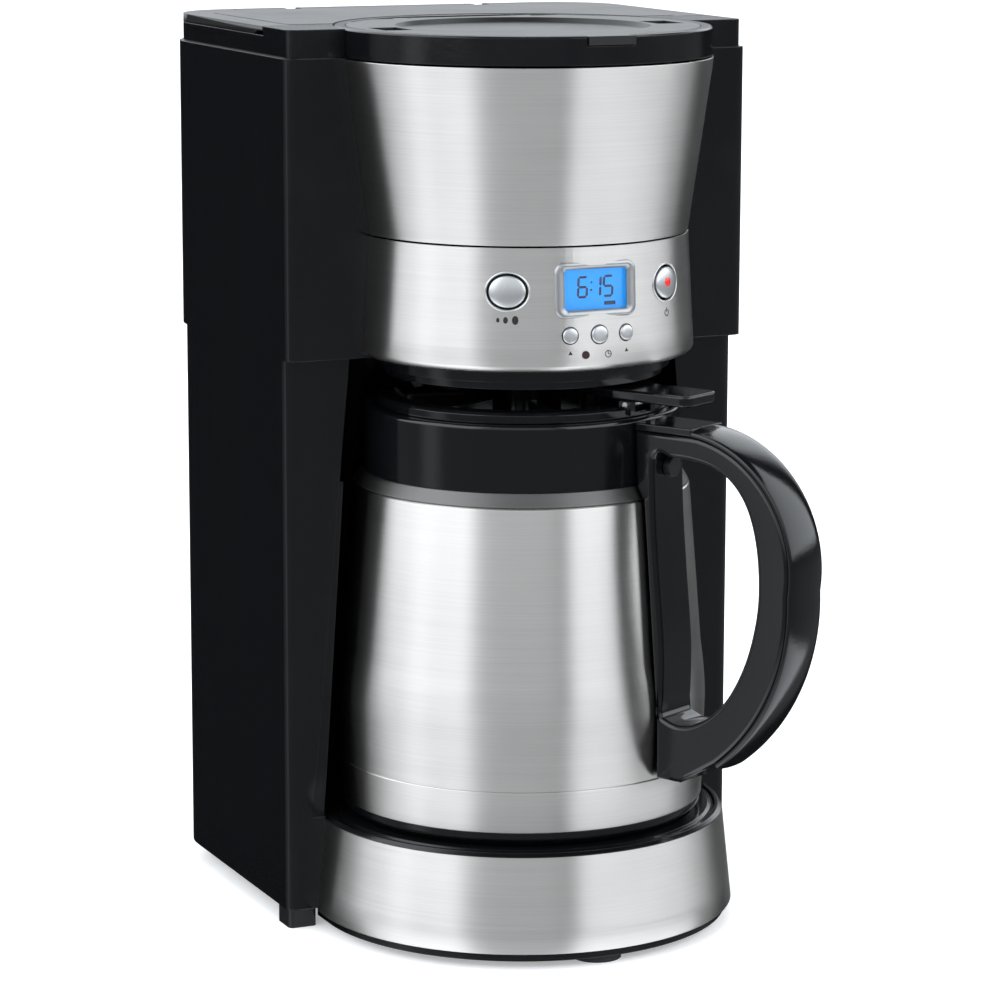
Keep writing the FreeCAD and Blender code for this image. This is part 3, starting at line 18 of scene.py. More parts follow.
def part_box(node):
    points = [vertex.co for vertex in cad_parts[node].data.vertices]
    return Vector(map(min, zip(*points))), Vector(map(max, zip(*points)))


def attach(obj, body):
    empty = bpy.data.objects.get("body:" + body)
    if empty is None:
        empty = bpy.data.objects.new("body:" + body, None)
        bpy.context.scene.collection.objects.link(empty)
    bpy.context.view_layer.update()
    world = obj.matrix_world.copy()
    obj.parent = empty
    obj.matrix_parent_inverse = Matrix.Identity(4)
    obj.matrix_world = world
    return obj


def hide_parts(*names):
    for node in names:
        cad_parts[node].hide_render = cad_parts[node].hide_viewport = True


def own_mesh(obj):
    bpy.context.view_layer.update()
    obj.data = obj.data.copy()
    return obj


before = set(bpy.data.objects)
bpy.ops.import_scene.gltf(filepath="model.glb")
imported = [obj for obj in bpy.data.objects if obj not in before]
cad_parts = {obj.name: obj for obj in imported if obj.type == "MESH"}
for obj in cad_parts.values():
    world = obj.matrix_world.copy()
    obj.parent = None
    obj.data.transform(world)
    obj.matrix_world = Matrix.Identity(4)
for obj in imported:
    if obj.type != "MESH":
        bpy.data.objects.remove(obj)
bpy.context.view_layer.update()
LOG = logging.getLogger("coffee_maker")

MM = 0.001
Pair = tuple[float, float]
Colour = tuple[float, float, float]
Place = Callable[[float, float, float], Vector]
Socket = bpy.types.NodeSocket
Node = bpy.types.Node
Piece = bpy.types.Object
SHELL_LOW, SHELL_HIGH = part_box("carafe_shell")
AXIS = Vector(((SHELL_LOW.x + SHELL_HIGH.x) / 2, (SHELL_LOW.y + SHELL_HIGH.y) / 2, 0.0))


# ------------------------------------------------------------------------------ mesh tools
class Turn(Enum):
    """How far a turned piece goes round, in degrees to the right of the front."""

    FULL = (-180.0, 180.0)
    FRONT = (-90.0, 90.0)


def at(x: float, y: float, z: float) -> Vector:
    """Return a point given in millimetres about the brew axis, in the row frame in metres."""
    return AXIS + Vector((x, y, z)) * MM


def round_corner(before: Vector, corner: Vector, after: Vector, radius: float, steps: int) -> list[Vector]:
    """Return the points that round one corner of an outline.

    Args:
        before, corner, after: three points of the outline.
        radius: wanted radius; a short side makes it smaller.
        steps: number of straight bits in the arc.

    Returns:
        The points of the arc, with one more point just before and just after it.
    """
    back, ahead = before - corner, after - corner
    room = min(back.length, ahead.length) * 0.45
    back, ahead = back.normalized(), ahead.normalized()
    angle = back.angle(ahead)
    if angle > pi - 0.02 or radius <= 0:
        return [corner]
    reach = min(radius / tan(angle / 2), room)
    true_radius = reach * tan(angle / 2)
    centre = corner + (back + ahead).normalized() * (true_radius / sin(angle / 2))
    first, last = corner + back * reach - centre, corner + ahead * reach - centre
    span = first.angle(last)
    arc = [centre + (first * sin((1 - t) * span) + last * sin(t * span)) / sin(span)
           for t in (step / steps for step in range(steps + 1))]
    support = min(0.25, reach * 0.5)
    return [arc[0] + back * support, *arc, arc[-1] + ahead * support]


def rounded(outline: Sequence[tuple[float, ...]], radius: float = 0.0, steps: int = 4) -> list[Pair]:
    """Return a closed outline with rounded corners.

    Args:
        outline: corners (a, b), or (a, b, radius) for a corner with its own radius.
        radius: radius of the corners that have none of their own.
        steps: number of straight bits in each arc.

    Returns:
        The points of the rounded outline.
    """
    points: list[Pair] = []
    count = len(outline)
    for index, corner in enumerate(outline):
        before, after = outline[index - 1], outline[(index + 1) % count]
        own = corner[2] if len(corner) > 2 else radius
        turned = round_corner(Vector(before[:2]), Vector(corner[:2]), Vector(after[:2]), own, steps)
        points += [(spot.x, spot.y) for spot in turned]
    return points


def upright(left: float, low: float, right: float, top: float) -> list[Pair]:
    """Return the corners of an upright rectangle."""
    return [(left, low), (right, low), (right, top), (left, top)]


def smooth_loop(points: Sequence[Pair], steps: int = 8) -> list[Pair]:
    """Return a smooth closed line that passes through the points.

    Args:
        points: what it passes through.
        steps: bits between two points.

    Returns:
        The points of the line.
    """
    line: list[Pair] = []
    count = len(points)
    for index in range(count):
        before, start, end, after = (Vector(points[(index + shift) % count]) for shift in (-1, 0, 1, 2))
        for step in range(steps):
            t = step / steps
            spot = 0.5 * (2 * start + (end - before) * t + (2 * before - 5 * start + 4 * end - after) * t ** 2
                          + (3 * start - before - 3 * end + after) * t ** 3)
            line.append((spot.x, spot.y))
    return line


def new_piece(name: str, mesh: bpy.types.Mesh) -> Piece:
    """Return a new object that holds the mesh, linked to the scene.

    Args:
        name: name of the piece.
        mesh: its mesh.

    Returns:
        The new object.
    """
    piece = bpy.data.objects.new(name, mesh)
    bpy.context.scene.collection.objects.link(piece)
    return piece


def finish_mesh(name: str, shape: bmesh.types.BMesh, sharp: float = 35.0) -> Piece:
    """Turn a bmesh into a smooth piece.

    Args:
        name: name of the piece.
        shape: the bmesh, which is freed.
        sharp: angle in degrees above which an edge stays sharp.

    Returns:
        The new object.
    """
    bmesh.ops.remove_doubles(shape, verts=shape.verts[:], dist=1e-7)
    bmesh.ops.recalc_face_normals(shape, faces=shape.faces[:])
    for face in shape.faces:
        face.smooth = True
    mesh = bpy.data.meshes.new(name)
    shape.to_mesh(mesh)
    shape.free()
    mesh.set_sharp_from_angle(angle=radians(sharp))
    return new_piece(name, mesh)


def lathe(name: str, outline: Sequence[Pair], turn: Turn = Turn.FULL, steps: int = 192,
          sharp: float = 35.0) -> Piece:
    """Turn a closed outline about the brew axis.

    Args:
        name: name of the piece.
        outline: closed outline as (radius, height) in millimetres.
        turn: how far round the piece goes.
        steps: number of faces round it.
        sharp: angle above which an edge stays sharp.

    Returns:
        The new object, with a UV map that runs round it.
    """
    shape = bmesh.new()
    uv = shape.loops.layers.uv.new("UVMap")
    low, high = (radians(angle) for angle in turn.value)
    full = turn is Turn.FULL
    columns = []
    for step in range(steps if full else steps + 1):
        angle = low + (high - low) * step / steps
        columns.append([shape.verts.new(at(r * sin(angle), -r * cos(angle), z)) for r, z in outline])
    lengths = [0.0]
    for start, end in zip(outline, [*outline[1:], outline[0]]):
        lengths.append(lengths[-1] + hypot(end[0] - start[0], end[1] - start[1]) * MM)
    mean = max(r for r, _ in outline) * MM
    for step in range(steps):
        left, right = columns[step], columns[(step + 1) % len(columns)]
        across = (mean * (high - low) * step / steps, mean * (high - low) * (step + 1) / steps)
        for index, (r, _) in enumerate(outline):
            after = (index + 1) % len(outline)
            if r == 0 and outline[after][0] == 0:
                continue
            face = shape.faces.new((left[index], right[index], right[after], left[after]))
            spots = ((across[0], lengths[index]), (across[1], lengths[index]),
                     (across[1], lengths[index + 1]), (across[0], lengths[index + 1]))
            for loop, spot in zip(face.loops, spots):
                loop[uv].uv = spot
    if not full:
        shape.faces.new(columns[0])
        shape.faces.new(columns[-1])
    bmesh.ops.dissolve_degenerate(shape, dist=1e-7, edges=shape.edges[:])
    return finish_mesh(name, shape, sharp)


def slab(name: str, loops: Sequence[Sequence[Pair]], half: float, edge: float,
         place: Place, steps: int = 4) -> Piece:
    """Make a flat plate with rounded edges from outlines in its own plane.

    Args:
        name: name of the piece.
        loops: outline of the plate and of any holes, in millimetres.
        half: half of its thickness.
        edge: radius of its edges.
        place: gives the row frame point of (along, up, across).
        steps: number of straight bits in each rounded edge.

    Returns:
        The new object.
    """
    curve = bpy.data.curves.new(name + "_outline", "CURVE")
    curve.dimensions = "2D"
    curve.fill_mode = "BOTH"
    for loop in loops:
        spline = curve.splines.new("POLY")
        spline.points.add(len(loop) - 1)
        for point, (x, y) in zip(spline.points, loop):
            point.co = (x, y, 0, 1)
        spline.use_cyclic_u = True
    curve.extrude = half - edge
    curve.bevel_depth = edge
    curve.bevel_resolution = steps
    curve.offset = -edge
    holder = new_piece(name + "_outline", curve)
    graph = bpy.context.evaluated_depsgraph_get()
    mesh = bpy.data.meshes.new_from_object(holder.evaluated_get(graph))
    bpy.data.objects.remove(holder)
    shape = bmesh.new()
    shape.from_mesh(mesh)
    bpy.data.meshes.remove(mesh)
    for vertex in shape.verts:
        vertex.co = place(*vertex.co)
    bmesh.ops.remove_doubles(shape, verts=shape.verts[:], dist=2e-6)
    piece = finish_mesh(name, shape, 40.0)
    weigh(piece)
    return piece


def weigh(piece: Piece) -> None:
    """Let large faces lead the shading of a piece, so that flat parts look flat.

    Args:
        piece: the piece to shade.
    """
    modifier = piece.modifiers.new("weighted", "WEIGHTED_NORMAL")
    modifier.keep_sharp = True
    modifier.weight = 60


def grid(name: str, rows: Sequence[Sequence[Vector]], closed: bool = True,
         capped: bool = True) -> Piece:
    """Join rows of points into a skin.

    Args:
        name: name of the piece.
        rows: sections of equal length.
        closed: True when each section is a ring.
        capped: True when the first and last sections are filled.

    Returns:
        The new object.
    """
    shape = bmesh.new()
    made = [[shape.verts.new(point) for point in row] for row in rows]
    for low, high in zip(made, made[1:]):
        for index in range(len(low) if closed else len(low) - 1):
            after = (index + 1) % len(low)
            shape.faces.new((low[index], low[after], high[after], high[index]))
    if capped:
        shape.faces.new(made[0])
        shape.faces.new(made[-1])
    return finish_mesh(name, shape)


def merged_copy(node: str, name: str) -> Piece:
    """Return a copy of a CAD node with its points merged and a UV map that runs round the brew axis.

    Args:
        node: name of the CAD node.
        name: name of the copy.

    Returns:
        The new object.
    """
    shape = bmesh.new()
    shape.from_mesh(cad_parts[node].data)
    bmesh.ops.remove_doubles(shape, verts=shape.verts[:], dist=1e-6)
    for layer in list(shape.loops.layers.uv):
        shape.loops.layers.uv.remove(layer)
    uv = shape.loops.layers.uv.new("UVMap")
    for face in shape.faces:
        face.smooth = True
        middle = face.calc_center_median() - AXIS
        facing = atan2(middle.x, -middle.y)
        for loop in face.loops:
            spot = loop.vert.co - AXIS
            angle = atan2(spot.x, -spot.y)
            angle += 2 * pi * round((facing - angle) / (2 * pi))
            loop[uv].uv = (angle * hypot(middle.x, middle.y), spot.z)
    mesh = bpy.data.meshes.new(name)
    shape.to_mesh(mesh)
    shape.free()
    mesh.set_sharp_from_angle(angle=radians(28))
    return new_piece(name, mesh)


# ------------------------------------------------------------------------------ node tools
class Graph:
    """A node tree with short ways to add and link nodes."""

    def __init__(self, tree: bpy.types.NodeTree) -> None:
        """Keep the tree and clear it."""
        self.tree = tree
        tree.nodes.clear()

    def add(self, kind: str, inputs: dict[str | int, object] | None = None, **settings: object) -> Node:
        """Add a node.

        Args:
            kind: type of the node.
            inputs: values or sockets for its inputs, by name or number.
            settings: properties of the node.

        Returns:
            The new node.
        """
        node = self.tree.nodes.new(kind)
        for name, value in settings.items():
            setattr(node, name, value)
        for name, value in (inputs or {}).items():
            self.feed(node.inputs[name], value)
        return node

    def feed(self, socket: Socket, value: object) -> None:
        """Link a socket to an input, or set the input's own value.

        Args:
            socket: the input.
            value: a socket, a node or a plain value.
        """
        if isinstance(value, bpy.types.NodeSocket):
            self.tree.links.new(value, socket)
        elif isinstance(value, bpy.types.Node):
            self.tree.links.new(value.outputs[0], socket)
        else:
            socket.default_value = value

    def math(self, operation: str, first: object, second: object = 0.0, clamp: bool = False) -> Socket:
        """Return the output of a Math node."""
        node = self.add("ShaderNodeMath", {0: first, 1: second}, operation=operation, use_clamp=clamp)
        return node.outputs[0]

    def plus(self, first: object, second: object, clamp: bool = False) -> Socket:
        """Return the sum of two values."""
        return self.math("ADD", first, second, clamp)

    def times(self, first: object, second: object) -> Socket:
        """Return the product of two values."""
        return self.math("MULTIPLY", first, second)

    def ramp(self, value: object, low: float, high: float, start: float = 0.0, end: float = 1.0) -> Socket:
        """Return value mapped smoothly from low..high to start..end."""
        return self.add("ShaderNodeMapRange", {0: value, 1: low, 2: high, 3: start, 4: end},
                        interpolation_type="SMOOTHSTEP").outputs[0]

    def noise(self, vector: object, scale: float, detail: float = 3.0, rough: float = 0.5) -> Socket:
        """Return the value of a Noise texture."""
        return self.add("ShaderNodeTexNoise", {"Vector": vector, "Scale": scale, "Detail": detail,
                                               "Roughness": rough}).outputs["Fac"]


def group(name: str, inputs: dict[str, float], outputs: Iterable[str],
          fill: Callable[[Graph, bpy.types.Node, bpy.types.Node], None]) -> bpy.types.NodeTree:
    """Return a shader node group, made once.

    Args:
        name: name of the group.
        inputs: its number inputs with their usual values.
        outputs: names of its number outputs.
        fill: builds the inside from the graph, its input node and its output node.

    Returns:
        The node group.
    """
    found = bpy.data.node_groups.get(name)
    if found:
        return found
    tree = bpy.data.node_groups.new(name, "ShaderNodeTree")
    for label, value in inputs.items():
        socket = tree.interface.new_socket(label, in_out="INPUT", socket_type="NodeSocketFloat")
        socket.default_value = value
    for label in outputs:
        tree.interface.new_socket(label, in_out="OUTPUT", socket_type="NodeSocketFloat")
    graph = Graph(tree)
    fill(graph, graph.add("NodeGroupInput"), graph.add("NodeGroupOutput"))
    return tree


def fill_brushed(graph: Graph, inside: Node, out: Node) -> None:
    """Build fine level streaks that run round the brew axis, and broad uneven cloudiness.

    Args:
        graph: the tree to build in.
        inside: its input node.
        out: its output node.
    """
    spot = graph.add("ShaderNodeTexCoord").outputs["Object"]
    parts = graph.add("ShaderNodeSeparateXYZ", {0: spot})
    fine = []
    for across, stretch in ((9.0, 1.0), (26.0, 2.7)):
        tall = graph.times(parts.outputs["Z"], graph.times(inside.outputs["Fineness"], stretch))
        wide = [graph.times(parts.outputs[axis], across) for axis in ("X", "Y")]
        lined = graph.add("ShaderNodeCombineXYZ", {0: wide[0], 1: wide[1], 2: tall})
        fine.append(graph.noise(lined.outputs[0], 1.0, 4.0, 0.62))
    streak = graph.plus(graph.times(fine[0], 0.55), graph.times(fine[1], 0.45))
    cloud = graph.noise(spot, 16.0, 2.0)
    graph.feed(out.inputs["Streak"], graph.ramp(streak, 0.34, 0.66))
    graph.feed(out.inputs["Cloud"], cloud)


def fill_grain(graph: Graph, inside: Node, out: Node) -> None:
    """Build the small even roughness of moulded plastic.

    Args:
        graph: the tree to build in.
        inside: its input node.
        out: its output node.
    """
    spot = graph.add("ShaderNodeTexCoord").outputs["Object"]
    scaled = graph.add("ShaderNodeVectorMath", {0: spot, "Scale": inside.outputs["Fineness"]},
                       operation="SCALE")
    cells = graph.add("ShaderNodeTexVoronoi", {"Vector": scaled.outputs[0], "Scale": 1.0})
    soft = graph.noise(scaled.outputs[0], 1.7, 2.0)
    graph.feed(out.inputs["Height"], graph.plus(graph.times(cells.outputs["Distance"], 0.5), soft))


def fill_handling(graph: Graph, inside: Node, out: Node) -> None:
    """Build faint smudges, hairline scratches and a little dust on what faces up.

    Args:
        graph: the tree to build in.
        inside: its input node.
        out: its output node.
    """
    spot = graph.add("ShaderNodeTexCoord").outputs["Object"]
    smudge = graph.ramp(graph.noise(spot, 22.0, 5.0, 0.62), 0.42, 0.72)
    turned = graph.add("ShaderNodeMapping", {
        "Vector": spot, "Rotation": (0.4, 0.2, 0.9), "Scale": (14.0, 240.0, 60.0)})
    hair = graph.ramp(graph.noise(turned.outputs[0], 1.0, 2.0, 0.4), 0.66, 0.72)
    normal = graph.add("ShaderNodeNewGeometry").outputs["Normal"]
    up = graph.add("ShaderNodeSeparateXYZ", {0: normal}).outputs["Z"]
    specks = graph.ramp(graph.noise(spot, 900.0, 1.0), 0.62, 0.8)
    lying = graph.times(graph.ramp(up, 0.5, 1.0), graph.plus(specks, 0.35))
    graph.feed(out.inputs["Smudge"], graph.times(smudge, inside.outputs["Smudges"]))
    graph.feed(out.inputs["Scratch"], graph.times(hair, inside.outputs["Scratches"]))
    graph.feed(out.inputs["Dust"], graph.times(lying, inside.outputs["Dustiness"]))


@dataclass(frozen=True)
class Finish:
    """One finish of the machine and the material that shows it."""

    name: str
    slot: str
    colour: Colour
    roughness: float
    metallic: float = 0.0
    anisotropic: float = 0.0
    coat: float = 0.0
    brushed: float = 0.0
    brush_fineness: float = 2600.0
    grain: float = 0.0
    grain_fineness: float = 1500.0
    smudges: float = 0.3
    scratches: float = 0.1
    dust: float = 0.0
    soft_edge: float = 0.0
    glow: float = 0.0
    clear: float = 0.0
    specular: float = 0.5

    def material(self) -> bpy.types.Material:
        """Return the material of this finish, made once."""
        found = bpy.data.materials.get(self.name)
        return found if found else self._made()

    def _made(self) -> bpy.types.Material:
        """Build the material's nodes."""
        made = bpy.data.materials.new(self.name)
        made.use_nodes = True
        graph = Graph(made.node_tree)
        handling = graph.add("ShaderNodeGroup", node_tree=group(
            "Handling", {"Smudges": 0.3, "Scratches": 0.1, "Dustiness": 0.0}, ("Smudge", "Scratch", "Dust"),
            fill_handling))
        for label, value in (("Smudges", self.smudges), ("Scratches", self.scratches),
                             ("Dustiness", self.dust)):
            handling.inputs[label].default_value = value
        colour = self._colour(graph, handling)
        rough = graph.plus(graph.times(handling.outputs["Smudge"], 0.14), self.roughness)
        rough = graph.plus(rough, graph.times(handling.outputs["Scratch"], 0.2))
        rough = graph.plus(rough, graph.times(handling.outputs["Dust"], 0.3), clamp=True)
        height: object = None
        if self.brushed:
            streaks = self._streaks(graph)
            rough = graph.plus(rough, graph.ramp(streaks.outputs["Streak"], 0, 1, -0.03, 0.03), clamp=True)
            height = streaks.outputs["Streak"]
        elif self.grain:
            grains = graph.add("ShaderNodeGroup", node_tree=group(
                "Grain", {"Fineness": 1500.0}, ("Height",), fill_grain))
            grains.inputs["Fineness"].default_value = self.grain_fineness
            height = grains.outputs["Height"]
        shader = graph.add("ShaderNodeBsdfPrincipled", {
            "Base Color": colour, "Roughness": rough, "Metallic": self.metallic,
            "Anisotropic": self.anisotropic, "Anisotropic Rotation": 0.25,
            "Coat Weight": self.coat, "Coat Roughness": 0.06,
            "Specular IOR Level": self.specular, "Transmission Weight": self.clear,
            "Emission Color": (*self.colour, 1.0), "Emission Strength": self.glow})
        normal: object = None
        if self.soft_edge:
            normal = graph.add("ShaderNodeBevel", {"Radius": self.soft_edge}, samples=4).outputs[0]
        if height is not None:
            depth = self.brushed or self.grain
            bump = graph.add("ShaderNodeBump", {"Height": height, "Distance": depth, "Strength": 1.0})
            if normal is not None:
                graph.feed(bump.inputs["Normal"], normal)
            normal = bump.outputs[0]
        if normal is not None:
            graph.feed(shader.inputs["Normal"], normal)
        if self.anisotropic:
            graph.feed(shader.inputs["Tangent"],
                       graph.add("ShaderNodeTangent", direction_type="UV_MAP", uv_map="UVMap").outputs[0])
        graph.add("ShaderNodeOutputMaterial", {"Surface": shader.outputs[0]})
        made.diffuse_color = (*self.colour, 1.0)
        return made

    def _streaks(self, graph: Graph) -> Node:
        """Add the group of brushed streaks.

        Args:
            graph: the tree of the material.

        Returns:
            What it adds.
        """
        streaks = graph.add("ShaderNodeGroup", node_tree=group(
            "Brushed", {"Fineness": 2600.0}, ("Streak", "Cloud"), fill_brushed))
        streaks.inputs["Fineness"].default_value = self.brush_fineness
        return streaks

    def _colour(self, graph: Graph, handling: Node) -> Socket:
        """Return the base colour with its dust, wear and streaks.

        Args:
            graph: the tree of the material.
            handling: the group of marks of use.

        Returns:
            The colour.
        """
        tone: object = handling.outputs["Scratch"]
        if self.brushed:
            streaks = self._streaks(graph)
            tone = graph.plus(graph.ramp(streaks.outputs["Streak"], 0, 1, 0.0, 0.75),
                              graph.ramp(streaks.outputs["Cloud"], 0.3, 0.7, 0.0, 0.25), clamp=True)
            pale, dark = 1.04, 0.93
        else:
            pale, dark = 1.7, 1.0
        base = graph.add("ShaderNodeMix", {
            0: tone, 6: (*[min(part * dark, 1.0) for part in self.colour], 1.0),
            7: (*[min(part * pale, 1.0) for part in self.colour], 1.0)}, data_type="RGBA")
        dusted = graph.add("ShaderNodeMix", {0: handling.outputs["Dust"], 6: base.outputs[2],
                                             7: (0.34, 0.33, 0.32, 1.0)}, data_type="RGBA")
        return dusted.outputs[2]


# ------------------------------------------------------------------------------ repeated shapes
def node_group(name: str, sizes: Sequence[str], fill: Callable[[Graph, bpy.types.Node], object],
               material: bpy.types.Material) -> bpy.types.NodeTree:
    """Return a Geometry Nodes tree with named sizes that ends in Realize Instances and Set Material.

    Args:
        name: name of the tree.
        sizes: names of its number inputs.
        fill: builds the instances from the graph and its input node, and returns their socket.
        material: material of the result.

    Returns:
        The new tree.
    """
    tree = bpy.data.node_groups.new(name, "GeometryNodeTree")
    tree.interface.new_socket("Geometry", in_out="INPUT", socket_type="NodeSocketGeometry")
    for label in sizes:
        tree.interface.new_socket(label, in_out="INPUT", socket_type="NodeSocketFloat")
    tree.interface.new_socket("Geometry", in_out="OUTPUT", socket_type="NodeSocketGeometry")
    graph = Graph(tree)
    placed = fill(graph, graph.add("NodeGroupInput"))
    real = graph.add("GeometryNodeRealizeInstances", {0: placed})
    painted = graph.add("GeometryNodeSetMaterial", {0: real, "Material": material})
    graph.add("NodeGroupOutput", {0: painted.outputs[0]})
    return tree


def baked(name: str, spots: Sequence[Vector], tree: bpy.types.NodeTree, sizes: dict[str, float]) -> Piece:
    """Run a Geometry Nodes tree on some points and return the result as a plain mesh.

    Args:
        name: name of the piece.
        spots: points that the tree reads.
        tree: the Geometry Nodes tree.
        sizes: values of its inputs, by name.

    Returns:
        The new object.
    """
    seeds = bpy.data.meshes.new(name + "_spots")
    seeds.from_pydata([tuple(spot) for spot in spots], [], [])
    holder = new_piece(name + "_holder", seeds)
    modifier = holder.modifiers.new("repeat", "NODES")
    modifier.node_group = tree
    for item in tree.interface.items_tree:
        if item.in_out == "INPUT" and item.name in sizes:
            modifier[item.identifier] = sizes[item.name]
    graph = bpy.context.evaluated_depsgraph_get()
    mesh = bpy.data.meshes.new_from_object(holder.evaluated_get(graph), depsgraph=graph)
    holder.modifiers.remove(modifier)
    bpy.data.objects.remove(holder)
    mesh.name = name
    mesh.shade_smooth()
    mesh.set_sharp_from_angle(angle=radians(35))
    return new_piece(name, mesh)


def fill_screws(graph: Graph, sizes: Node) -> object:
    """Stand a screw with a cross recess, its head down, on every point.

    Args:
        graph: the tree to build in.
        sizes: its input node.

    Returns:
        The last node.
    """
    half = graph.times(sizes.outputs["Head Height"], 0.5)
    head = graph.add("GeometryNodeMeshCylinder", {"Vertices": 40, "Radius": sizes.outputs["Head Radius"],
                                                  "Depth": sizes.outputs["Head Height"]})
    moved = graph.add("GeometryNodeTransform", {
        "Geometry": head.outputs[0], "Translation": graph.add("ShaderNodeCombineXYZ", {2: half})})
    length = graph.times(sizes.outputs["Head Radius"], 1.2)
    width = graph.times(sizes.outputs["Head Radius"], 0.26)
    cuts = []
    for size in ((length, width), (width, length)):
        block = graph.add("ShaderNodeCombineXYZ", {0: size[0], 1: size[1], 2: sizes.outputs["Head Height"]})
        cuts.append(graph.add("GeometryNodeMeshCube", {"Size": block}).outputs[0])
    recessed = moved.outputs[0]
    for block in cuts:
        carved = graph.add("GeometryNodeMeshBoolean", {"Mesh 1": recessed, "Mesh 2": block},
                           operation="DIFFERENCE")
        recessed = carved.outputs[0]
    shank = graph.add("GeometryNodeMeshCylinder", {"Vertices": 24, "Radius": sizes.outputs["Shank Radius"],
                                                   "Depth": sizes.outputs["Shank Length"]})
    middle = graph.plus(sizes.outputs["Head Height"], graph.times(
        sizes.outputs["Shank Length"], 0.49))
    raised = graph.add("GeometryNodeTransform", {
        "Geometry": shank.outputs[0], "Translation": graph.add("ShaderNodeCombineXYZ", {2: middle})})
    screw = graph.add("GeometryNodeJoinGeometry", {0: recessed})
    graph.feed(screw.inputs[0], raised.outputs[0])
    return graph.add("GeometryNodeInstanceOnPoints", {
        "Points": sizes.outputs[0], "Instance": screw.outputs[0]})


def fill_spring(graph: Graph, sizes: Node) -> object:
    """Wind a coil spring upwards from the point.

    Args:
        graph: the tree to build in.
        sizes: its input node.

    Returns:
        The last node.
    """
    coil = graph.add("GeometryNodeCurveSpiral", {
        "Resolution": 32, "Rotations": sizes.outputs["Turns"], "Start Radius": sizes.outputs["Radius"],
        "End Radius": sizes.outputs["Radius"], "Height": sizes.outputs["Height"]})
    section = graph.add("GeometryNodeCurvePrimitiveCircle", {
        "Resolution": 10, "Radius": sizes.outputs["Wire Radius"]})
    wire = graph.add("GeometryNodeCurveToMesh", {
        0: coil.outputs[0], 1: section.outputs[0], "Fill Caps": True})
    return graph.add("GeometryNodeInstanceOnPoints", {
        "Points": sizes.outputs[0], "Instance": wire.outputs[0]})


def fill_ribs(graph: Graph, sizes: Node) -> object:
    """Lay slanted ribs evenly round an upright line through the point.

    Args:
        graph: the tree to build in.
        sizes: its input node.

    Returns:
        The last node.
    """
    ends = [graph.add("ShaderNodeCombineXYZ", {0: sizes.outputs[label + " Radius"], 2: sizes.outputs[label]})
            for label in ("Low", "High")]
    line = graph.add("GeometryNodeCurvePrimitiveLine", {"Start": ends[0], "End": ends[1]})
    section = graph.add("GeometryNodeCurvePrimitiveCircle", {
        "Resolution": 12, "Radius": sizes.outputs["Thickness"]})
    rib = graph.add("GeometryNodeCurveToMesh", {0: line.outputs[0], 1: section.outputs[0], "Fill Caps": True})
    copies = graph.add("GeometryNodeMeshLine", {"Count": sizes.outputs["Count"], "Offset": (0.0, 0.0, 0.0)})
    placed = graph.add("GeometryNodeSetPosition", {0: copies.outputs[0], "Position": graph.add(
        "GeometryNodeSampleIndex", {0: sizes.outputs[0], 1: graph.add("GeometryNodeInputPosition")},
        data_type="FLOAT_VECTOR")})
    step = graph.math("DIVIDE", 2 * pi, sizes.outputs["Count"])
    turn = graph.times(graph.add("GeometryNodeInputIndex"), step)
    spun = graph.add("ShaderNodeCombineXYZ", {2: turn})
    return graph.add("GeometryNodeInstanceOnPoints", {"Points": placed.outputs[0], "Instance": rib.outputs[0],
                                                      "Rotation": spun})


# ------------------------------------------------------------------------------ finishes
GLOSS_BLACK = Finish("polished_black_plastic", "gloss_black", (0.0028, 0.003, 0.0038), 0.12, coat=0.1,
                     grain=0.00002, grain_fineness=420.0, smudges=0.5, dust=0.012, soft_edge=0.0005)
SATIN_BLACK = Finish("satin_black_plastic", "satin_black", (0.006, 0.006, 0.0062), 0.36, grain=0.00003,
                     grain_fineness=2200.0, smudges=0.35, dust=0.02, soft_edge=0.0005)
# A darker, less glossy copy of the gloss black for the recess liner, the base plate and the base shell, which
# sit in the recess and under the column: its darker colour is painted shade.
PAINTED_SHADE_BLACK = Finish("painted_shade_black_plastic", "gloss_black", (0.0024, 0.0026, 0.0034), 0.2, grain=0.00002,
                     grain_fineness=600.0, soft_edge=0.0005)
STEEL = Finish("brushed_stainless_steel", "steel", (0.70, 0.675, 0.65), 0.33, 1.0, anisotropic=0.9,
               brushed=0.000004, brush_fineness=3600.0, smudges=0.2, scratches=0.05)
STEEL_LINER = Finish("drawn_steel_liner", "steel", (0.60, 0.60, 0.60), 0.3, 1.0, brushed=0.00002)
RING_STEEL = Finish("dark_brushed_ring", "ring_grey", (0.185, 0.18, 0.175), 0.46, 1.0, anisotropic=0.5,
                    brushed=0.000005, brush_fineness=4200.0, smudges=0.2)
SILVER = Finish("silver_painted_plastic", "silver", (0.60, 0.605, 0.615), 0.3, 0.85, grain=0.00002,
                grain_fineness=2600.0, smudges=0.2, scratches=0.1)
FRAME_SILVER = Finish("frame_silver", "silver", (0.42, 0.425, 0.435), 0.34, 0.9, grain=0.00002,
                      grain_fineness=2600.0, smudges=0.2, scratches=0.1)
TURNED_STEEL = Finish("turned_steel", "steel_pin", (0.62, 0.62, 0.63), 0.22, 1.0, scratches=0.4,
                      grain=0.00001)
RUBBER = Finish("soft_rubber", "rubber_black", (0.02, 0.02, 0.021), 0.78, grain=0.00008,
                grain_fineness=1300.0, dust=0.05, specular=0.3)
PANE = Finish("clear_pane", "screen_glass", (0.93, 0.96, 0.98), 0.03, clear=1.0, smudges=0.1, specular=0.5)
SCREEN_BLUE = Finish("lit_blue_screen", "screen_blue", (0.006, 0.25, 0.70), 0.5, glow=0.9, grain=0.00001,
                     smudges=0.0)
SEGMENT_INK = Finish("dark_segments", "screen_blue", (0.004, 0.02, 0.10), 0.5, grain=0.00001, smudges=0.0)
PRINT_INK = Finish("printed_marks", "gloss_black", (0.012, 0.012, 0.013), 0.45, grain=0.00001, smudges=0.0)
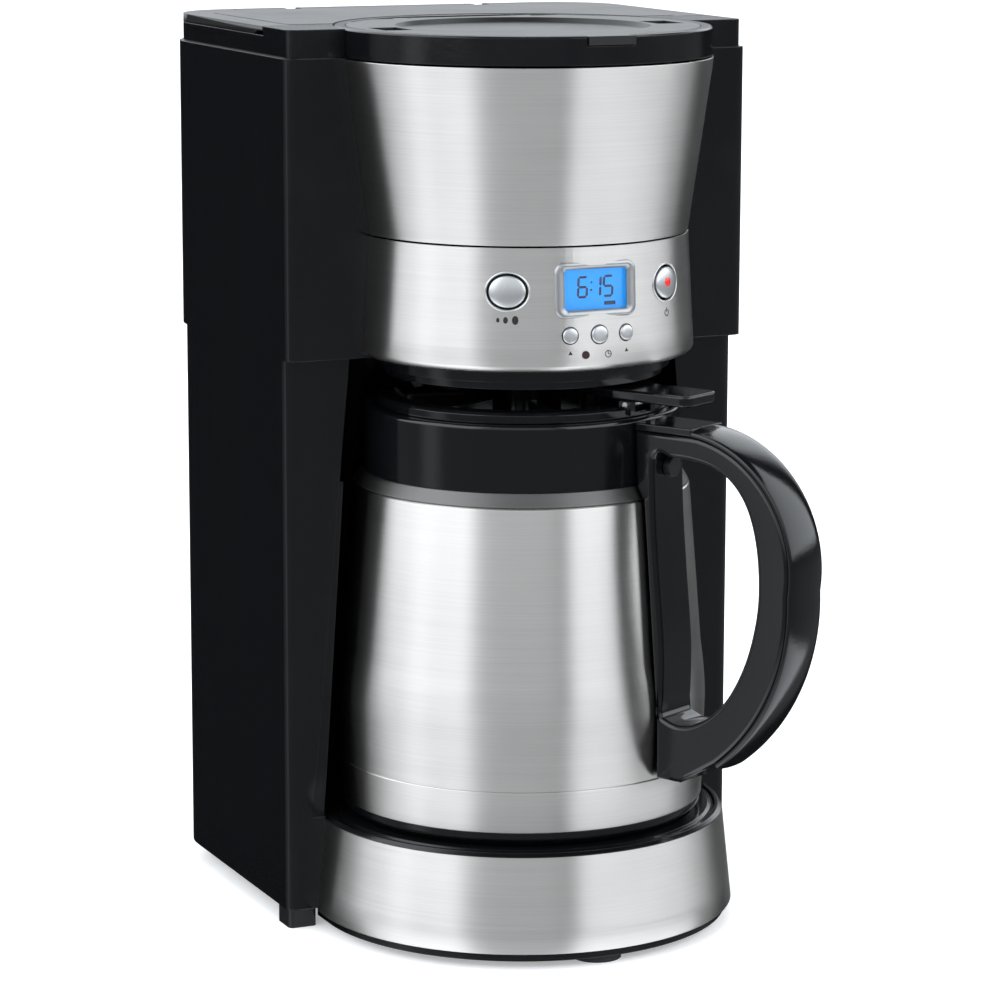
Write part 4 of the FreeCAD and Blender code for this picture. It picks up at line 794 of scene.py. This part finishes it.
LENS = Finish("dark_lens", "lens_dark", (0.035, 0.022, 0.022), 0.1, coat=0.6, grain=0.00001, smudges=0.1)
RED_LENS = Finish("red_lens", "lens_dark", (0.62, 0.012, 0.012), 0.22, coat=0.6, glow=0.25, grain=0.00001)
BOARD = Finish("circuit_board", "board_green", (0.02, 0.10, 0.035), 0.4, grain=0.00003, grain_fineness=900.0)
HEATER = Finish("cast_aluminium", "heater_metal", (0.50, 0.50, 0.50), 0.45, 1.0, grain=0.00006,
                grain_fineness=1100.0)
TANK = Finish("smoked_tank_plastic", "clear_tank", (0.09, 0.10, 0.11), 0.28, grain=0.00002,
              grain_fineness=700.0, coat=0.2)
SILICONE = Finish("silicone_hose", "hose_silicone", (0.60, 0.585, 0.54), 0.5, grain=0.00003,
                  grain_fineness=800.0)


# ------------------------------------------------------------------------------ assemblies
class Assembly:
    """A sub-assembly: it dresses its CAD nodes and adds its own pieces."""

    title = "assembly"

    def dress(self, finish: Finish, *names: str) -> None:
        """Give CAD nodes a finish."""
        for name in names:
            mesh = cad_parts[name].data
            if not mesh.materials:
                mesh.materials.append(None)
            for index in range(len(mesh.materials)):
                mesh.materials[index] = finish.material()
            LOG.info("%s: %s keeps its CAD shape in %s", self.title, name, finish.name)

    def add(self, piece: Piece, finish: Finish, body: str, *stands_for: str) -> Piece:
        """Paint a piece, let it ride on a body and let it stand for CAD nodes.

        Args:
            piece: the new piece.
            finish: its finish.
            body: CAD body that it moves with.
            stands_for: CAD nodes that it replaces.

        Returns:
            The same piece.
        """
        piece.data.materials.clear()
        piece.data.materials.append(finish.material())
        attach(piece, body)
        if stands_for:
            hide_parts(*stands_for)
        LOG.info("%s: %s, %d faces, rides on %s", self.title, piece.name, len(piece.data.polygons), body)
        return piece

    def build(self) -> None:
        """Build the pieces."""
        raise NotImplementedError


@dataclass
class Column(Assembly):
    """Black housings of the column, their tank and what lies inside them."""

    title = "column"
    front_screw: Pair = (36.0, -58.0)
    screw_head_radius: float = 3.0
    screw_head_height: float = 1.8
    screw_shank_radius: float = 1.45
    screw_shank_length: float = 13.0

    def build(self) -> None:
        """Dress the housings, the feet and the inner pieces."""
        self.dress(GLOSS_BLACK, "lower_housing", "head_housing", "tank_housing")
        # The recess liner and the base plate take the darker black, which is painted shade.
        self.dress(PAINTED_SHADE_BLACK, "splash_liner", "base_plate")
        self.dress(SATIN_BLACK, "corner_feet", "cord_gland", "heater_mount", "check_valve")
        self.dress(RUBBER, "front_foot")
        self.dress(TANK, "water_tank")
        self.dress(SILICONE, "feed_hose", "riser_hose")
        self.dress(BOARD, "power_board")
        self.dress(HEATER, "heater_tube")
        self.dress(TURNED_STEEL, "thermostat", "thermal_fuse")
        self._screws()

    def _screws(self) -> None:
        """Build the screws under the base, two at the front and two higher ones at the back."""
        low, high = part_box("base_screws")
        head, rise = self.screw_head_radius * MM, self.screw_head_height * MM
        rear_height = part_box("corner_feet")[1].z - rise
        spots = [at(side * self.front_screw[0], self.front_screw[1], low.z / MM) for side in (-1, 1)]
        spots += [Vector((x, high.y - head, rear_height)) for x in (low.x + head, high.x - head)]
        sizes = {"Head Radius": head, "Head Height": rise, "Shank Radius": self.screw_shank_radius * MM,
                 "Shank Length": self.screw_shank_length * MM}
        tree = node_group("screw_set", list(sizes), fill_screws, TURNED_STEEL.material())
        screws = baked("base_screw_set", spots, tree, sizes)
        self.add(screws, TURNED_STEEL, "machine", "base_screws")


@dataclass
class BrewHead(Assembly):
    """Steel head with its lids and the filter basket."""

    title = "brew head"
    cone_low: float = 285.65
    cone_high: float = 355.0
    cone_low_radius: float = 67.0
    cone_high_radius: float = 76.6
    sheet: float = 0.8
    crown: float = 0.85
    rib_count: int = 24
    rib_foot: Pair = (37.2, 239.0)
    rib_top: Pair = (50.8, 291.5)
    rib_thickness: float = 0.9
    spring_wire: float = 0.5
    spring_turns: float = 5.0
    valve_lift: float = 3.0

    def build(self) -> None:
        """Build the cone and the level reservoir lid, and dress the brewing pieces."""
        self.dress(SATIN_BLACK, "basket_lid", "filter_basket", "valve_cage", "drip_valve", "shower_head")
        self.dress(GLOSS_BLACK, "lid_ring", "top_frame")
        lid = merged_copy("reservoir_lid", "reservoir_lid_skin")
        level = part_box("reservoir_lid")[1].z - self.crown * MM
        for point in lid.data.vertices:
            point.co.z = min(point.co.z, level)
        weigh(lid)
        self.add(lid, SATIN_BLACK, "reservoir_lid_flap", "reservoir_lid")
        self.dress(TURNED_STEEL, "reservoir_lid_pin", "basket_lid_pin")
        foot, rim = (self.cone_low_radius, self.cone_low), (self.cone_high_radius, self.cone_high)
        outline = rounded([(foot[0] - self.sheet, foot[1]), foot, rim, (rim[0] - self.sheet, rim[1])],
                          0.25, 3)
        self.add(lathe("cone_skin", outline, Turn.FRONT, 128), STEEL, "machine", "steel_cone")
        self._basket_ribs()
        self._drip_spring()

    def _drip_spring(self) -> None:
        """Build the coil spring over the drip valve at one fixed length; the real spring shortens as the
        valve lifts.
        """
        low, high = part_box("drip_spring")
        wire = self.spring_wire * MM
        sizes = {"Turns": self.spring_turns, "Radius": (high.x - low.x) / 2 - wire,
                 "Height": high.z - low.z - 2 * wire, "Wire Radius": wire}
        tree = node_group("coil_spring", list(sizes), fill_spring, TURNED_STEEL.material())
        coil = baked("drip_spring_coil", [Vector((AXIS.x, AXIS.y, low.z + wire))], tree, sizes)
        self.add(coil, TURNED_STEEL, "machine", "drip_spring")
        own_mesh(coil)

    def _basket_ribs(self) -> None:
        """Build the ribs that hold the paper filter off the wall of the basket."""
        sizes = {"Count": float(self.rib_count), "Thickness": self.rib_thickness * MM}
        for label, (radius, height) in (("Low", self.rib_foot), ("High", self.rib_top)):
            sizes[label + " Radius"], sizes[label] = radius * MM, height * MM
        tree = node_group("rib_set", list(sizes), fill_ribs, SATIN_BLACK.material())
        ribs = baked("basket_ribs", [at(0, 0, 0)], tree, sizes)
        self.add(ribs, SATIN_BLACK, "machine")


@dataclass
class ControlPanel(Assembly):
    """Steel control band with its buttons, indicator and clock screen."""

    title = "control panel"
    waist: float = 285.3
    waist_radius: float = 67.2
    foot_height: float = 239.0
    foot_radius: float = 69.7
    strength_angle: float = 29.4
    power_angle: float = 32.0
    big_height: float = 268.1
    big_half: float = 7.3
    big_rise: float = 6.2
    small_height: float = 250.7
    small_radius: float = 3.1
    middle_radius: float = 3.5
    dial_angle: float = 4.6
    gauge_low: Pair = (5.0, 261.5)
    gauge_high: Pair = (9.8, 263.0)
    screen_middle: float = 1.2
    screen_height: float = 268.3
    screen_half: float = 13.5
    screen_rise: float = 7.9
    bezel_half: float = 17.6
    bezel_rise: float = 11.0
    panel_front: float = 63.6
    small_angles: tuple[float, float, float] = (-8.7, 1.5, 11.7)

    def radius_at(self, height: float) -> float:
        """Return the outer radius of the band at a height."""
        share = (height - self.foot_height) / (self.waist - self.foot_height)
        return self.foot_radius + (self.waist_radius - self.foot_radius) * share

    def on_band(self, x: float, z: float, rise: float, angle: float = 0.0) -> Vector:
        """Return the point of the band seen at (x, z), raised above its surface and turned round the axis.

        Args:
            x: distance to the right in the flat view.
            z: height.
            rise: distance above the surface.
            angle: turn round the brew axis in degrees.

        Returns:
            The point in the row frame.
        """
        radius = self.radius_at(z) + rise
        depth = sqrt(max(radius * radius - x * x, 0.0))
        turn = radians(angle)
        return at(x * cos(turn) + depth * sin(turn), x * sin(turn) - depth * cos(turn), z)

    def build(self) -> None:
        """Build the band, the buttons and the screen."""
        self.dress(BOARD, "control_board", "tact_switches")
        self.dress(LENS, "status_lens")
        self.dress(PANE, "screen_window")
        self.dress(SCREEN_BLUE, "screen_panel")
        self.add(merged_copy("control_band", "control_skin"), STEEL, "machine", "control_band")
        self._big_button("strength_cap", "strength_key", -self.strength_angle, "strength_button")
        self._big_button("power_cap", "power_key", self.power_angle, "power_button")
        self._red_dot()
        for name, angle, radius in zip(("hour", "program", "minute"), self.small_angles,
                                       (self.small_radius, self.middle_radius, self.small_radius)):
            self._small_button(name, angle, radius)
        self._bezel()
        self._clock()
        self._marks()

    def _dome(self, name: str, angle: float, centre: float, half: float, rise: float,
              rings: Sequence[Pair]) -> Piece:
        """Make an oval cap from rings.

        Args:
            name: name of the piece.
            angle: its place round the band.
            centre: height of its middle.
            half, rise: half width and half height.
            rings: (share of the size, rise above the band) of each ring from the back to the middle.

        Returns:
            The new object.
        """
        count = 64
        rows = [[self.on_band(half * share * cos(2 * pi * step / count),
                              centre + rise * share * sin(2 * pi * step / count), lift, angle)
                 for step in range(count)] for share, lift in rings]
        return grid(name, rows)

    def _big_button(self, name: str, body: str, angle: float, node: str) -> None:
        """Build one large domed button and the dark ring round it.

        Args:
            name: name of the cap.
            body: body it moves with.
            angle: angle in degrees round the brew axis.
            node: CAD node it replaces.
        """
        rings = [(0.97, -2.2), (0.985, -0.4), (1.0, 0.25), (0.985, 0.5), (0.94, 0.72), (0.86, 0.92),
                 (0.7, 1.15), (0.5, 1.32), (0.3, 1.42), (0.12, 1.46), (0.01, 1.46)]
        cap = self._dome(name, angle, self.big_height, self.big_half, self.big_rise, rings)
        self.add(cap, SILVER, body, node)
        count = 64
        rows = []
        for extra, lift in ((1.7, 0.02), (1.6, 0.3), (1.35, 0.45), (1.1, 0.3), (1.0, 0.0), (1.0, -1.5),
                            (1.7, -0.5)):
            half, tall = self.big_half + extra, self.big_rise + extra
            rows.append([self.on_band(half * cos(2 * pi * step / count),
                                      self.big_height + tall * sin(2 * pi * step / count), lift, angle)
                         for step in range(count)])
        rows.append(rows[0])
        self.add(grid(name + "_surround", rows, capped=False), SILVER, "machine")

    def _red_dot(self) -> None:
        """Build the small red light in the power button."""
        rings = [(1.0, 1.2), (1.0, 1.46), (0.85, 1.6), (0.5, 1.7), (0.02, 1.74)]
        angle, middle, radius = self.power_angle - 0.6, self.big_height + 0.4, 1.9
        self.add(self._dome("power_light", angle, middle, radius, radius, rings), RED_LENS, "power_key")

    def _small_button(self, name: str, angle: float, radius: float) -> None:
        """Build one small round button with a dark gap round it.

        Args:
            name: first part of its names.
            angle: angle in degrees round the brew axis.
            radius: radius of the cap.
        """
        rings = [(0.97, -2.6), (1.0, 0.3), (0.97, 0.62), (0.9, 0.82), (0.78, 0.95), (0.5, 1.03), (0.25, 1.05),
                 (0.02, 1.05)]
        cap = self._dome(name + "_cap", angle, self.small_height, radius, radius, rings)
        self.add(cap, SILVER, name + "_key", name + "_button")

    def _bezel(self) -> None:
        """Build the raised silver frame round the screen."""
        def ring(half: float, high: float, corner: float, lift: float) -> list[Vector]:
            """Return a rounded rectangle laid on the band.

            Args:
                half: half of its width.
                high: half of its height.
                corner: radius of its corners.
                lift: height above the band.

            Returns:
                The points.
            """
            low, top = self.screen_height - high, self.screen_height + high
            outline = rounded([(-half, low), (half, low), (half, top), (-half, top)], corner, 8)
            return [self.on_band(self.screen_middle + x, z, lift) for x, z in outline]

        wide, tall = self.bezel_half, self.bezel_rise
        inner, low = self.screen_half, self.screen_rise
        rows = [ring(wide - 0.3, tall - 0.3, 3.9, -0.4), ring(wide, tall, 4.2, 0.1),
                ring(wide - 0.15, tall - 0.15, 4.0, 0.55), ring(wide - 0.6, tall - 0.6, 3.6, 0.95),
                ring(wide - 1.2, tall - 1.2, 3.2, 1.1), ring(wide - 2.6, tall - 1.9, 2.4, 0.95),
                ring(inner + 0.5, low + 0.5, 1.6, 0.45), ring(inner + 0.1, low + 0.1, 1.3, 0.0),
                ring(inner, low, 1.2, -0.95), ring(inner + 1.4, low + 1.4, 1.9, -1.0)]
        rows.append(rows[0])
        self.add(grid("screen_frame", rows, capped=False), FRAME_SILVER, "machine", "screen_bezel")

    def _plate(self, name: str, shapes: Sequence[Sequence[Pair]], place: Place, thick: float) -> Piece:
        """Make thin flat marks from convex outlines.

        Args:
            name: name of the piece.
            shapes: convex outlines in millimetres.
            place: gives the row frame point of (x, z, rise).
            thick: rise of the face above the back.

        Returns:
            The new object.
        """
        shape = bmesh.new()
        for outline in shapes:
            back = [shape.verts.new(place(x, z, -0.02)) for x, z in outline]
            front = [shape.verts.new(place(x, z, thick)) for x, z in outline]
            shape.faces.new(front)
            shape.faces.new(back[::-1])
            for index in range(len(outline)):
                after = (index + 1) % len(outline)
                shape.faces.new((back[index], back[after], front[after], front[index]))
        return finish_mesh(name, shape)

    def _clock(self) -> None:
        """Build the digits and bars of the clock screen."""
        lit = {"6": "acdefg", "1": "bc", "5": "acdfg"}
        shapes: list[list[Pair]] = []
        wide, tall, thick, slant = 3.7, 7.8, 1.0, 0.03

        def bar(x0: float, z0: float, x1: float, z1: float, left: float) -> list[Pair]:
            """Return one segment with pointed ends.

            Args:
                x0: where it starts, across.
                z0: where it starts, up.
                x1: where it ends, across.
                z1: where it ends, up.
                left: left edge of the digit.

            Returns:
                The corners of the segment.
            """
            along = Vector((x1 - x0, z1 - z0)).normalized()
            side = Vector((-along.y, along.x)) * thick / 2
            tip = along * thick * 0.5
            start, end = Vector((x0, z0)) + tip * 1.15, Vector((x1, z1)) - tip * 1.15
            corners = [start - tip, start + side, end + side, end + tip, end - side, start - side]
            return [(corner.x + left + slant * corner.y, corner.y + self.screen_height - tall / 2 + 0.6)
                    for corner in corners]

        spots = {"a": (0, tall, wide, tall), "b": (wide, tall, wide, tall / 2),
                 "c": (wide, tall / 2, wide, 0), "d": (0, 0, wide, 0), "e": (0, 0, 0, tall / 2),
                 "f": (0, tall / 2, 0, tall), "g": (0, tall / 2, wide, tall / 2)}
        for digit, left in (("6", -6.4), ("1", -0.6), ("5", 4.6)):
            shapes += [bar(*spots[part], left) for part in lit[digit]]
        for height in (2.2, 5.2):
            shapes.append([(-1.15 + x + slant * height, self.screen_height - tall / 2 + 0.6 + height + z)
                           for x, z in ((0, 0), (0.8, 0), (0.8, 0.8), (0, 0.8))])
        shapes.append(upright(*self.gauge_low, *self.gauge_high))
        digits = self._plate("clock_digits", shapes, lambda x, z, rise: at(
            self.screen_middle + x, -self.panel_front - rise, z), 0.05)
        self.add(digits, SEGMENT_INK, "machine")

    def _marks(self) -> None:
        """Build small generic printed marks beside the controls."""
        bean_height, power_height, arrow_height, dial_height = 257.0, 256.2, 243.2, 242.9

        def disc(z: float, outer: float, inner: float, first: float, last: float) -> list[list[Pair]]:
            """Return the bits of a printed ring.

            Args:
                z: height of its centre.
                outer: outer radius.
                inner: inner radius.
                first: angle in degrees where it starts.
                last: angle in degrees where it ends.

            Returns:
                The outlines of the bits.
            """
            count = 16
            bits = []
            for step in range(count):
                a, b = (radians(first + (last - first) * (step + part) / count) for part in (0, 1))
                bits.append([(radius * cos(turn), z + radius * sin(turn))
                             for radius, turn in ((inner, a), (outer, a), (outer, b), (inner, b))])
            return bits

        def printed(name: str, shapes: list[list[Pair]], angle: float) -> None:
            """Lay marks on the band."""
            piece = self._plate(name, shapes, lambda x, z, rise: self.on_band(x, z, rise, angle), 0.03)
            self.add(piece, PRINT_INK, "machine")

        beans = [[(centre + size * 0.72 * cos(pi * step / 8), bean_height + size * sin(pi * step / 8))
                  for step in range(16)] for centre, size in ((-3.6, 0.9), (-0.6, 1.3), (3.2, 1.75))]
        printed("strength_mark", beans, -self.strength_angle)
        stroke = upright(-0.22, power_height + 0.2, 0.22, power_height + 2.0)
        printed("power_mark", [*disc(power_height, 1.5, 1.1, -235, 55), stroke], self.power_angle)
        for name, angle in (("hour_mark", self.small_angles[0]), ("minute_mark", self.small_angles[2])):
            arrow = [(-0.9, arrow_height), (0.9, arrow_height), (0.0, arrow_height + 1.5)]
            printed(name, [arrow], angle)
        hands = [upright(-0.15, dial_height - 0.1, 0.15, dial_height + 1.1),
                 upright(0.0, dial_height - 0.15, 0.9, dial_height + 0.15)]
        printed("program_mark", [*disc(dial_height, 1.5, 1.15, 0, 360), *hands], self.dial_angle)


class Base(Assembly):
    """Round base with its steel band and the platform under the carafe."""

    title = "base"

    def build(self) -> None:
        """Build the band and dress the rest."""
        self.dress(GLOSS_BLACK, "carafe_platform")
        # The base shell behind the band takes the darker black, which is painted shade.
        self.dress(PAINTED_SHADE_BLACK, "base_shell")
        self.add(merged_copy("base_band", "base_band_skin"), STEEL, "machine", "base_band")


@dataclass
class Carafe(Assembly):
    """Insulated carafe with its lid, thumb lever and loop handle."""

    title = "carafe"
    handle_angle: float = 28.0
    handle_half: float = 11.0
    cover_thick: float = 3.0
    reach: float = 141.0
    waist: float = 152.0
    top: float = 213.6
    low: float = 70.0

    def build(self) -> None:
        """Build the turned body, the lid and the handle."""
        self._body()
        self._lid()
        self._handle()

    def _body(self) -> None:
        """Build the steel skin, foot, ring and collar."""
        bend = [(76.2 - 2.05 * (1 - cos(pi / 2 * step / 8)), 92 + 24 * step / 8) for step in range(9)]
        skin = rounded([(74.3, 52.5, 0.2), (75.1, 52.5, 0.3), (75.7, 69.0, 0.35), (75.25, 69.5, 0.2),
                        (75.7, 70.0, 0.35)], 0.2, 3)
        outside = [*skin, *[(r, z) for r, z in bend], (68.9, 181.0), (68.7, 181.8), (68.2, 182.2)]
        inside = [(67.9, 182.2), (73.4, 116.0), (75.4, 92.0), (74.9, 70.6), (74.3, 69.0)]
        self.add(lathe("carafe_skin", [*outside, *inside]), STEEL, "carafe", "carafe_shell")
        foot = rounded([(0, 47.8), (66.1, 47.8), (67.1, 46.8), (71.9, 46.8, 1.2), (74.5, 49.4, 1.6),
                        (74.5, 52.5), (71.1, 52.5), (69.1, 49.8), (0, 49.8)], 0.2, 4)
        self.add(lathe("carafe_cap", foot), GLOSS_BLACK, "carafe", "carafe_foot")
        ring = rounded([(60.7, 182.2), (68.6, 182.3, 0.5), (65.3, 187.8, 0.3), (60.7, 187.8)], 0.1, 3)
        self.add(lathe("carafe_grey_ring", ring), RING_STEEL, "carafe", "carafe_ring")
        collar = rounded([(52, 187.8), (54.5, 187.8), (54.5, 209), (62.2, 209), (62.2, 187.8), (64.7, 187.8),
                          (64.7, 214.5, 1.4), (56, 214.5), (56, 211.5), (52, 211.5)], 0.2, 4)
        self.add(lathe("carafe_collar_skin", collar), GLOSS_BLACK, "carafe", "carafe_collar")
        self.dress(STEEL_LINER, "carafe_liner")

    def _lid(self) -> None:
        """Dress the pouring lid and build the thumb lever."""
        self.dress(GLOSS_BLACK, "carafe_lid", "pour_valve")
        self.dress(RUBBER, "lid_seal")
        self.dress(TURNED_STEEL, "lever_pin")
        self.dress(SATIN_BLACK, "handle_screw")
        half = self.handle_half
        outline = rounded([(90.0, -half, 4.0), (90.0, half, 4.0), (54.0, half, 2.0), (34.0, 7.0, 2.0),
                           (34.0, -7.0, 2.0), (54.0, -half, 2.0)], 2.0, 8)

        def place(out: float, across: float, up: float) -> Vector:
            """Lay the lever level along the handle's direction."""
            return self.in_plane(out, 223.85 + up, across)

        lever = slab("lever_plate", [outline], 2.25, 1.0, place)
        self.add(lever, GLOSS_BLACK, "lever", "thumb_lever")

    def in_plane(self, out: float, up: float, across: float) -> Vector:
        """Return the point at a reach, height and distance across the handle's own plane."""
        turn = radians(self.handle_angle)
        return at(out * sin(turn) + across * cos(turn), -out * cos(turn) + across * sin(turn), up)

    def _outer_line(self, inset: float) -> list[Pair]:
        """Return the outside of the loop from its top end to its bottom end, drawn in by inset.

        Args:
            inset: how far inside the true outside.

        Returns:
            The points of the line.
        """
        corners = [(92.0, self.top), (self.reach, self.waist), (107.0, self.low + 8.0)]
        line: list[Pair] = []
        for (start, end, radius) in ((corners[0], corners[1], 54.0), (corners[1], corners[2], 88.0)):
            first, last = Vector(start), Vector(end)
            chord = last - first
            height = sqrt(radius * radius - chord.length_squared / 4)
            side = Vector((chord.y, -chord.x)).normalized()
            centre = (first + last) / 2 + side * height
            begin, stop = atan2(*(first - centre).yx), atan2(*(last - centre).yx)
            if stop > begin:
                stop -= 2 * pi
            line += [(centre.x + (radius - inset) * cos(begin + (stop - begin) * step / 24),
                      centre.y + (radius - inset) * sin(begin + (stop - begin) * step / 24))
                     for step in range(25 if radius > 60 else 24)]
        return line

    def _handle(self) -> None:
        """Build the loop of the handle, its outer cover and its top pad."""
        line = self._outer_line(self.cover_thick + 0.15)
        outline = [(64.9, self.top - 3.2), *line, (88.0, self.low), (80.0, self.low), (76.4, self.low)]
        spine = [(76.35, 92.0), (74.4, 116.0), (69.0, 182.0), (65.4, 188.0), (64.9, 200.0)]
        inner = smooth_loop([(78.6, 97.0), (81.5, 94.6), (87.0, 93.4), (94.5, 95.0), (103.5, 100.6),
                             (111.5, 110.0), (118.5, 124.0), (122.8, 140.0), (124.0, 154.0), (122.6,
                             170.0), (118.6, 183.5),
                             (112.0, 193.0), (103.0, 198.8), (92.0, 201.0), (82.0, 201.2), (76.8, 202.6),
                             (74.2, 201.0), (73.6, 196.0), (74.4, 176.0), (76.6, 150.0), (79.0, 124.0),
                             (79.0, 106.0)], 6)
        self.add(slab("handle_loop", [[*outline, *spine], inner], self.handle_half, 2.0, self.in_plane, 5),
                 GLOSS_BLACK, "carafe", "handle_body")
        self._cover()
        under = self.top - 3.0
        outline = rounded([(64.9, under), (91.9, under), (91.9, self.top), (64.9, self.top)], 0.4, 3)
        pad = slab("handle_pad", [outline], self.handle_half - 0.2, 0.5, self.in_plane)
        self.add(pad, GLOSS_BLACK, "carafe", "handle_top_pad")

    def _cover(self) -> None:
        """Build the domed outer cover by carrying a D section along the loop."""
        outer = self._outer_line(0.0)
        half = self.handle_half - 0.2
        count = 20
        flank = self.cover_thick - 0.9
        section = [(-half, self.cover_thick), (-half, flank)]
        section += [(-half * cos(pi * step / count), flank * (1 - sin(pi * step / count) ** 0.8))
                    for step in range(1, count)]
        section += [(half, flank), (half, self.cover_thick)]
        rows = []
        for index, (x, z) in enumerate(outer):
            ahead = Vector(outer[min(index + 1, len(outer) - 1)]) - Vector(outer[max(index - 1, 0)])
            inward = Vector((ahead.y, -ahead.x)).normalized()
            rows.append([self.in_plane(x + inward.x * depth, z + inward.y * depth, across)
                         for across, depth in section])
        self.add(grid("handle_outer_cover", rows), GLOSS_BLACK, "carafe", "handle_cover")


# ------------------------------------------------------------------------------ studio
@dataclass
class Studio:
    """Pale floor, soft light and the camera."""

    camera_place: tuple[float, float, float] = (-0.63328, -1.38471, 0.45993)
    camera_turn: float = -24.249
    camera_drop: float = 10.668
    camera_roll: float = 0.152
    lens: float = 135.93

    def build(self) -> None:
        """Build the floor, the lights, the surroundings and the camera."""
        self._floor()
        self._lights()
        self._surroundings()
        self._camera()

    def _floor(self) -> None:
        """Lay a large pale floor."""
        shape = bmesh.new()
        bmesh.ops.create_grid(shape, x_segments=1, y_segments=1, size=14.0)
        mesh = bpy.data.meshes.new("floor")
        shape.to_mesh(mesh)
        shape.free()
        floor = new_piece("floor", mesh)
        paint = bpy.data.materials.new("pale_floor")
        paint.use_nodes = True
        graph = Graph(paint.node_tree)
        shader = graph.add("ShaderNodeBsdfPrincipled", {
            "Base Color": (0.86, 0.86, 0.86, 1.0), "Roughness": 0.9, "Specular IOR Level": 0.1,
            "Emission Color": (1.0, 1.0, 1.0, 1.0), "Emission Strength": 0.34})
        graph.add("ShaderNodeOutputMaterial", {"Surface": shader.outputs[0]})
        mesh.materials.append(paint)
        floor.visible_glossy = False

    def _lights(self) -> None:
        """Hang soft panels above and at both sides."""
        for name, place, aim, size, power in (
                ("top_panel", (0.0, -0.1, 1.9), (0.0, 0.0, 0.0), 1.9, 15.0),
                ("left_panel", (-1.5, -0.9, 1.0), (0.0, 0.0, 0.2), 1.0, 3.0),
                ("right_panel", (1.5, -1.0, 1.1), (0.0, 0.0, 0.2), 1.0, 3.0)):
            light = bpy.data.lights.new(name, "AREA")
            light.shape = "SQUARE"
            light.size = size
            light.energy = power
            lamp = bpy.data.objects.new(name, light)
            bpy.context.scene.collection.objects.link(lamp)
            lamp.location = place
            lamp.visible_glossy = False
            lamp.rotation_mode = "QUATERNION"
            lamp.rotation_quaternion = (Vector(aim) - Vector(place)).to_track_quat("-Z", "Y")

    def _surroundings(self) -> None:
        """Paint soft bright panels round the studio by direction, on a white backdrop."""
        world = bpy.data.worlds.new("studio")
        bpy.context.scene.world = world
        world.use_nodes = True
        graph = Graph(world.node_tree)
        way = graph.add("ShaderNodeSeparateXYZ", {0: graph.add("ShaderNodeTexCoord").outputs["Generated"]})
        across = graph.times(way.outputs["Y"], -1.0)
        turn = graph.times(graph.math("ARCTAN2", way.outputs["X"], across), 180 / pi)
        rise = graph.times(graph.math("ARCSINE", way.outputs["Z"]), 180 / pi)
        total: object = 0.0
        for left, right, low, high, soft, bright in (
                (-124.0, -58.0, 2.0, 60.0, 8.0, 2.4),
                (-124.0, -57.0, -80.0, -24.0, 8.0, 1.9),
                (-100.0, -86.0, -20.0, 0.0, 6.0, 0.5),
                (8.0, 100.0, 2.0, 56.0, 3.0, 2.2),
                (8.0, 96.0, -80.0, -24.0, 3.0, 1.7),
                (-62.0, 2.0, 2.0, 60.0, 8.0, 0.95),
                (-62.0, 2.0, -80.0, -24.0, 8.0, 0.6),
                (-132.0, 112.0, -90.0, -2.0, 8.0, 0.2),
                (120.0, 240.0, 8.0, 70.0, 10.0, 1.9),
                (-240.0, -120.0, 8.0, 70.0, 10.0, 1.9)):
            inside = graph.ramp(turn, left - soft, left + soft)
            outside = graph.ramp(turn, right - soft, right + soft, 1.0, 0.0)
            above = graph.ramp(rise, low - soft, low + soft)
            below = graph.ramp(rise, high - soft, high + soft, 1.0, 0.0)
            panel = graph.times(graph.times(inside, outside), graph.times(above, below))
            total = graph.plus(total, graph.times(panel, bright))
        total = graph.plus(total, 0.015)
        seen = graph.add("ShaderNodeLightPath").outputs["Is Camera Ray"]
        soft_light = graph.add("ShaderNodeBackground", {"Color": (0.91, 0.955, 1.0, 1.0), "Strength": total})
        backdrop = graph.add("ShaderNodeBackground", {"Color": (1.0, 1.0, 1.0, 1.0), "Strength": 1.0})
        mixed = graph.add("ShaderNodeMixShader", {0: seen, 1: soft_light.outputs[0], 2: backdrop.outputs[0]})
        graph.add("ShaderNodeOutputWorld", {"Surface": mixed.outputs[0]})

    def _camera(self) -> None:
        """Place the camera."""
        data = bpy.data.cameras.new("camera")
        data.lens = self.lens
        data.sensor_width = 36.0
        camera = bpy.data.objects.new("camera", data)
        bpy.context.scene.collection.objects.link(camera)
        turn, drop, roll = radians(self.camera_turn), radians(self.camera_drop), radians(self.camera_roll)
        back = Vector((sin(turn) * cos(drop), -cos(turn) * cos(drop), sin(drop)))
        right = Vector((cos(turn), sin(turn), 0.0))
        up = back.cross(right)
        across = right * cos(roll) + up * sin(roll)
        upright = up * cos(roll) - right * sin(roll)
        place = Vector(self.camera_place) + AXIS
        camera.matrix_world = Matrix((
            (across.x, upright.x, back.x, place.x), (across.y, upright.y, back.y, place.y),
            (across.z, upright.z, back.z, place.z), (0.0, 0.0, 0.0, 1.0)))
        bpy.context.scene.camera = camera
        bpy.context.scene.view_settings.view_transform = "Standard"


def main() -> None:
    """Build the studio and the machine, and log each piece."""
    logging.basicConfig(level=logging.INFO, format="%(message)s")
    Studio().build()
    for assembly in (Column(), BrewHead(), ControlPanel(), Base(), Carafe()):
        assembly.build()


if __name__ == "__main__":
    main()
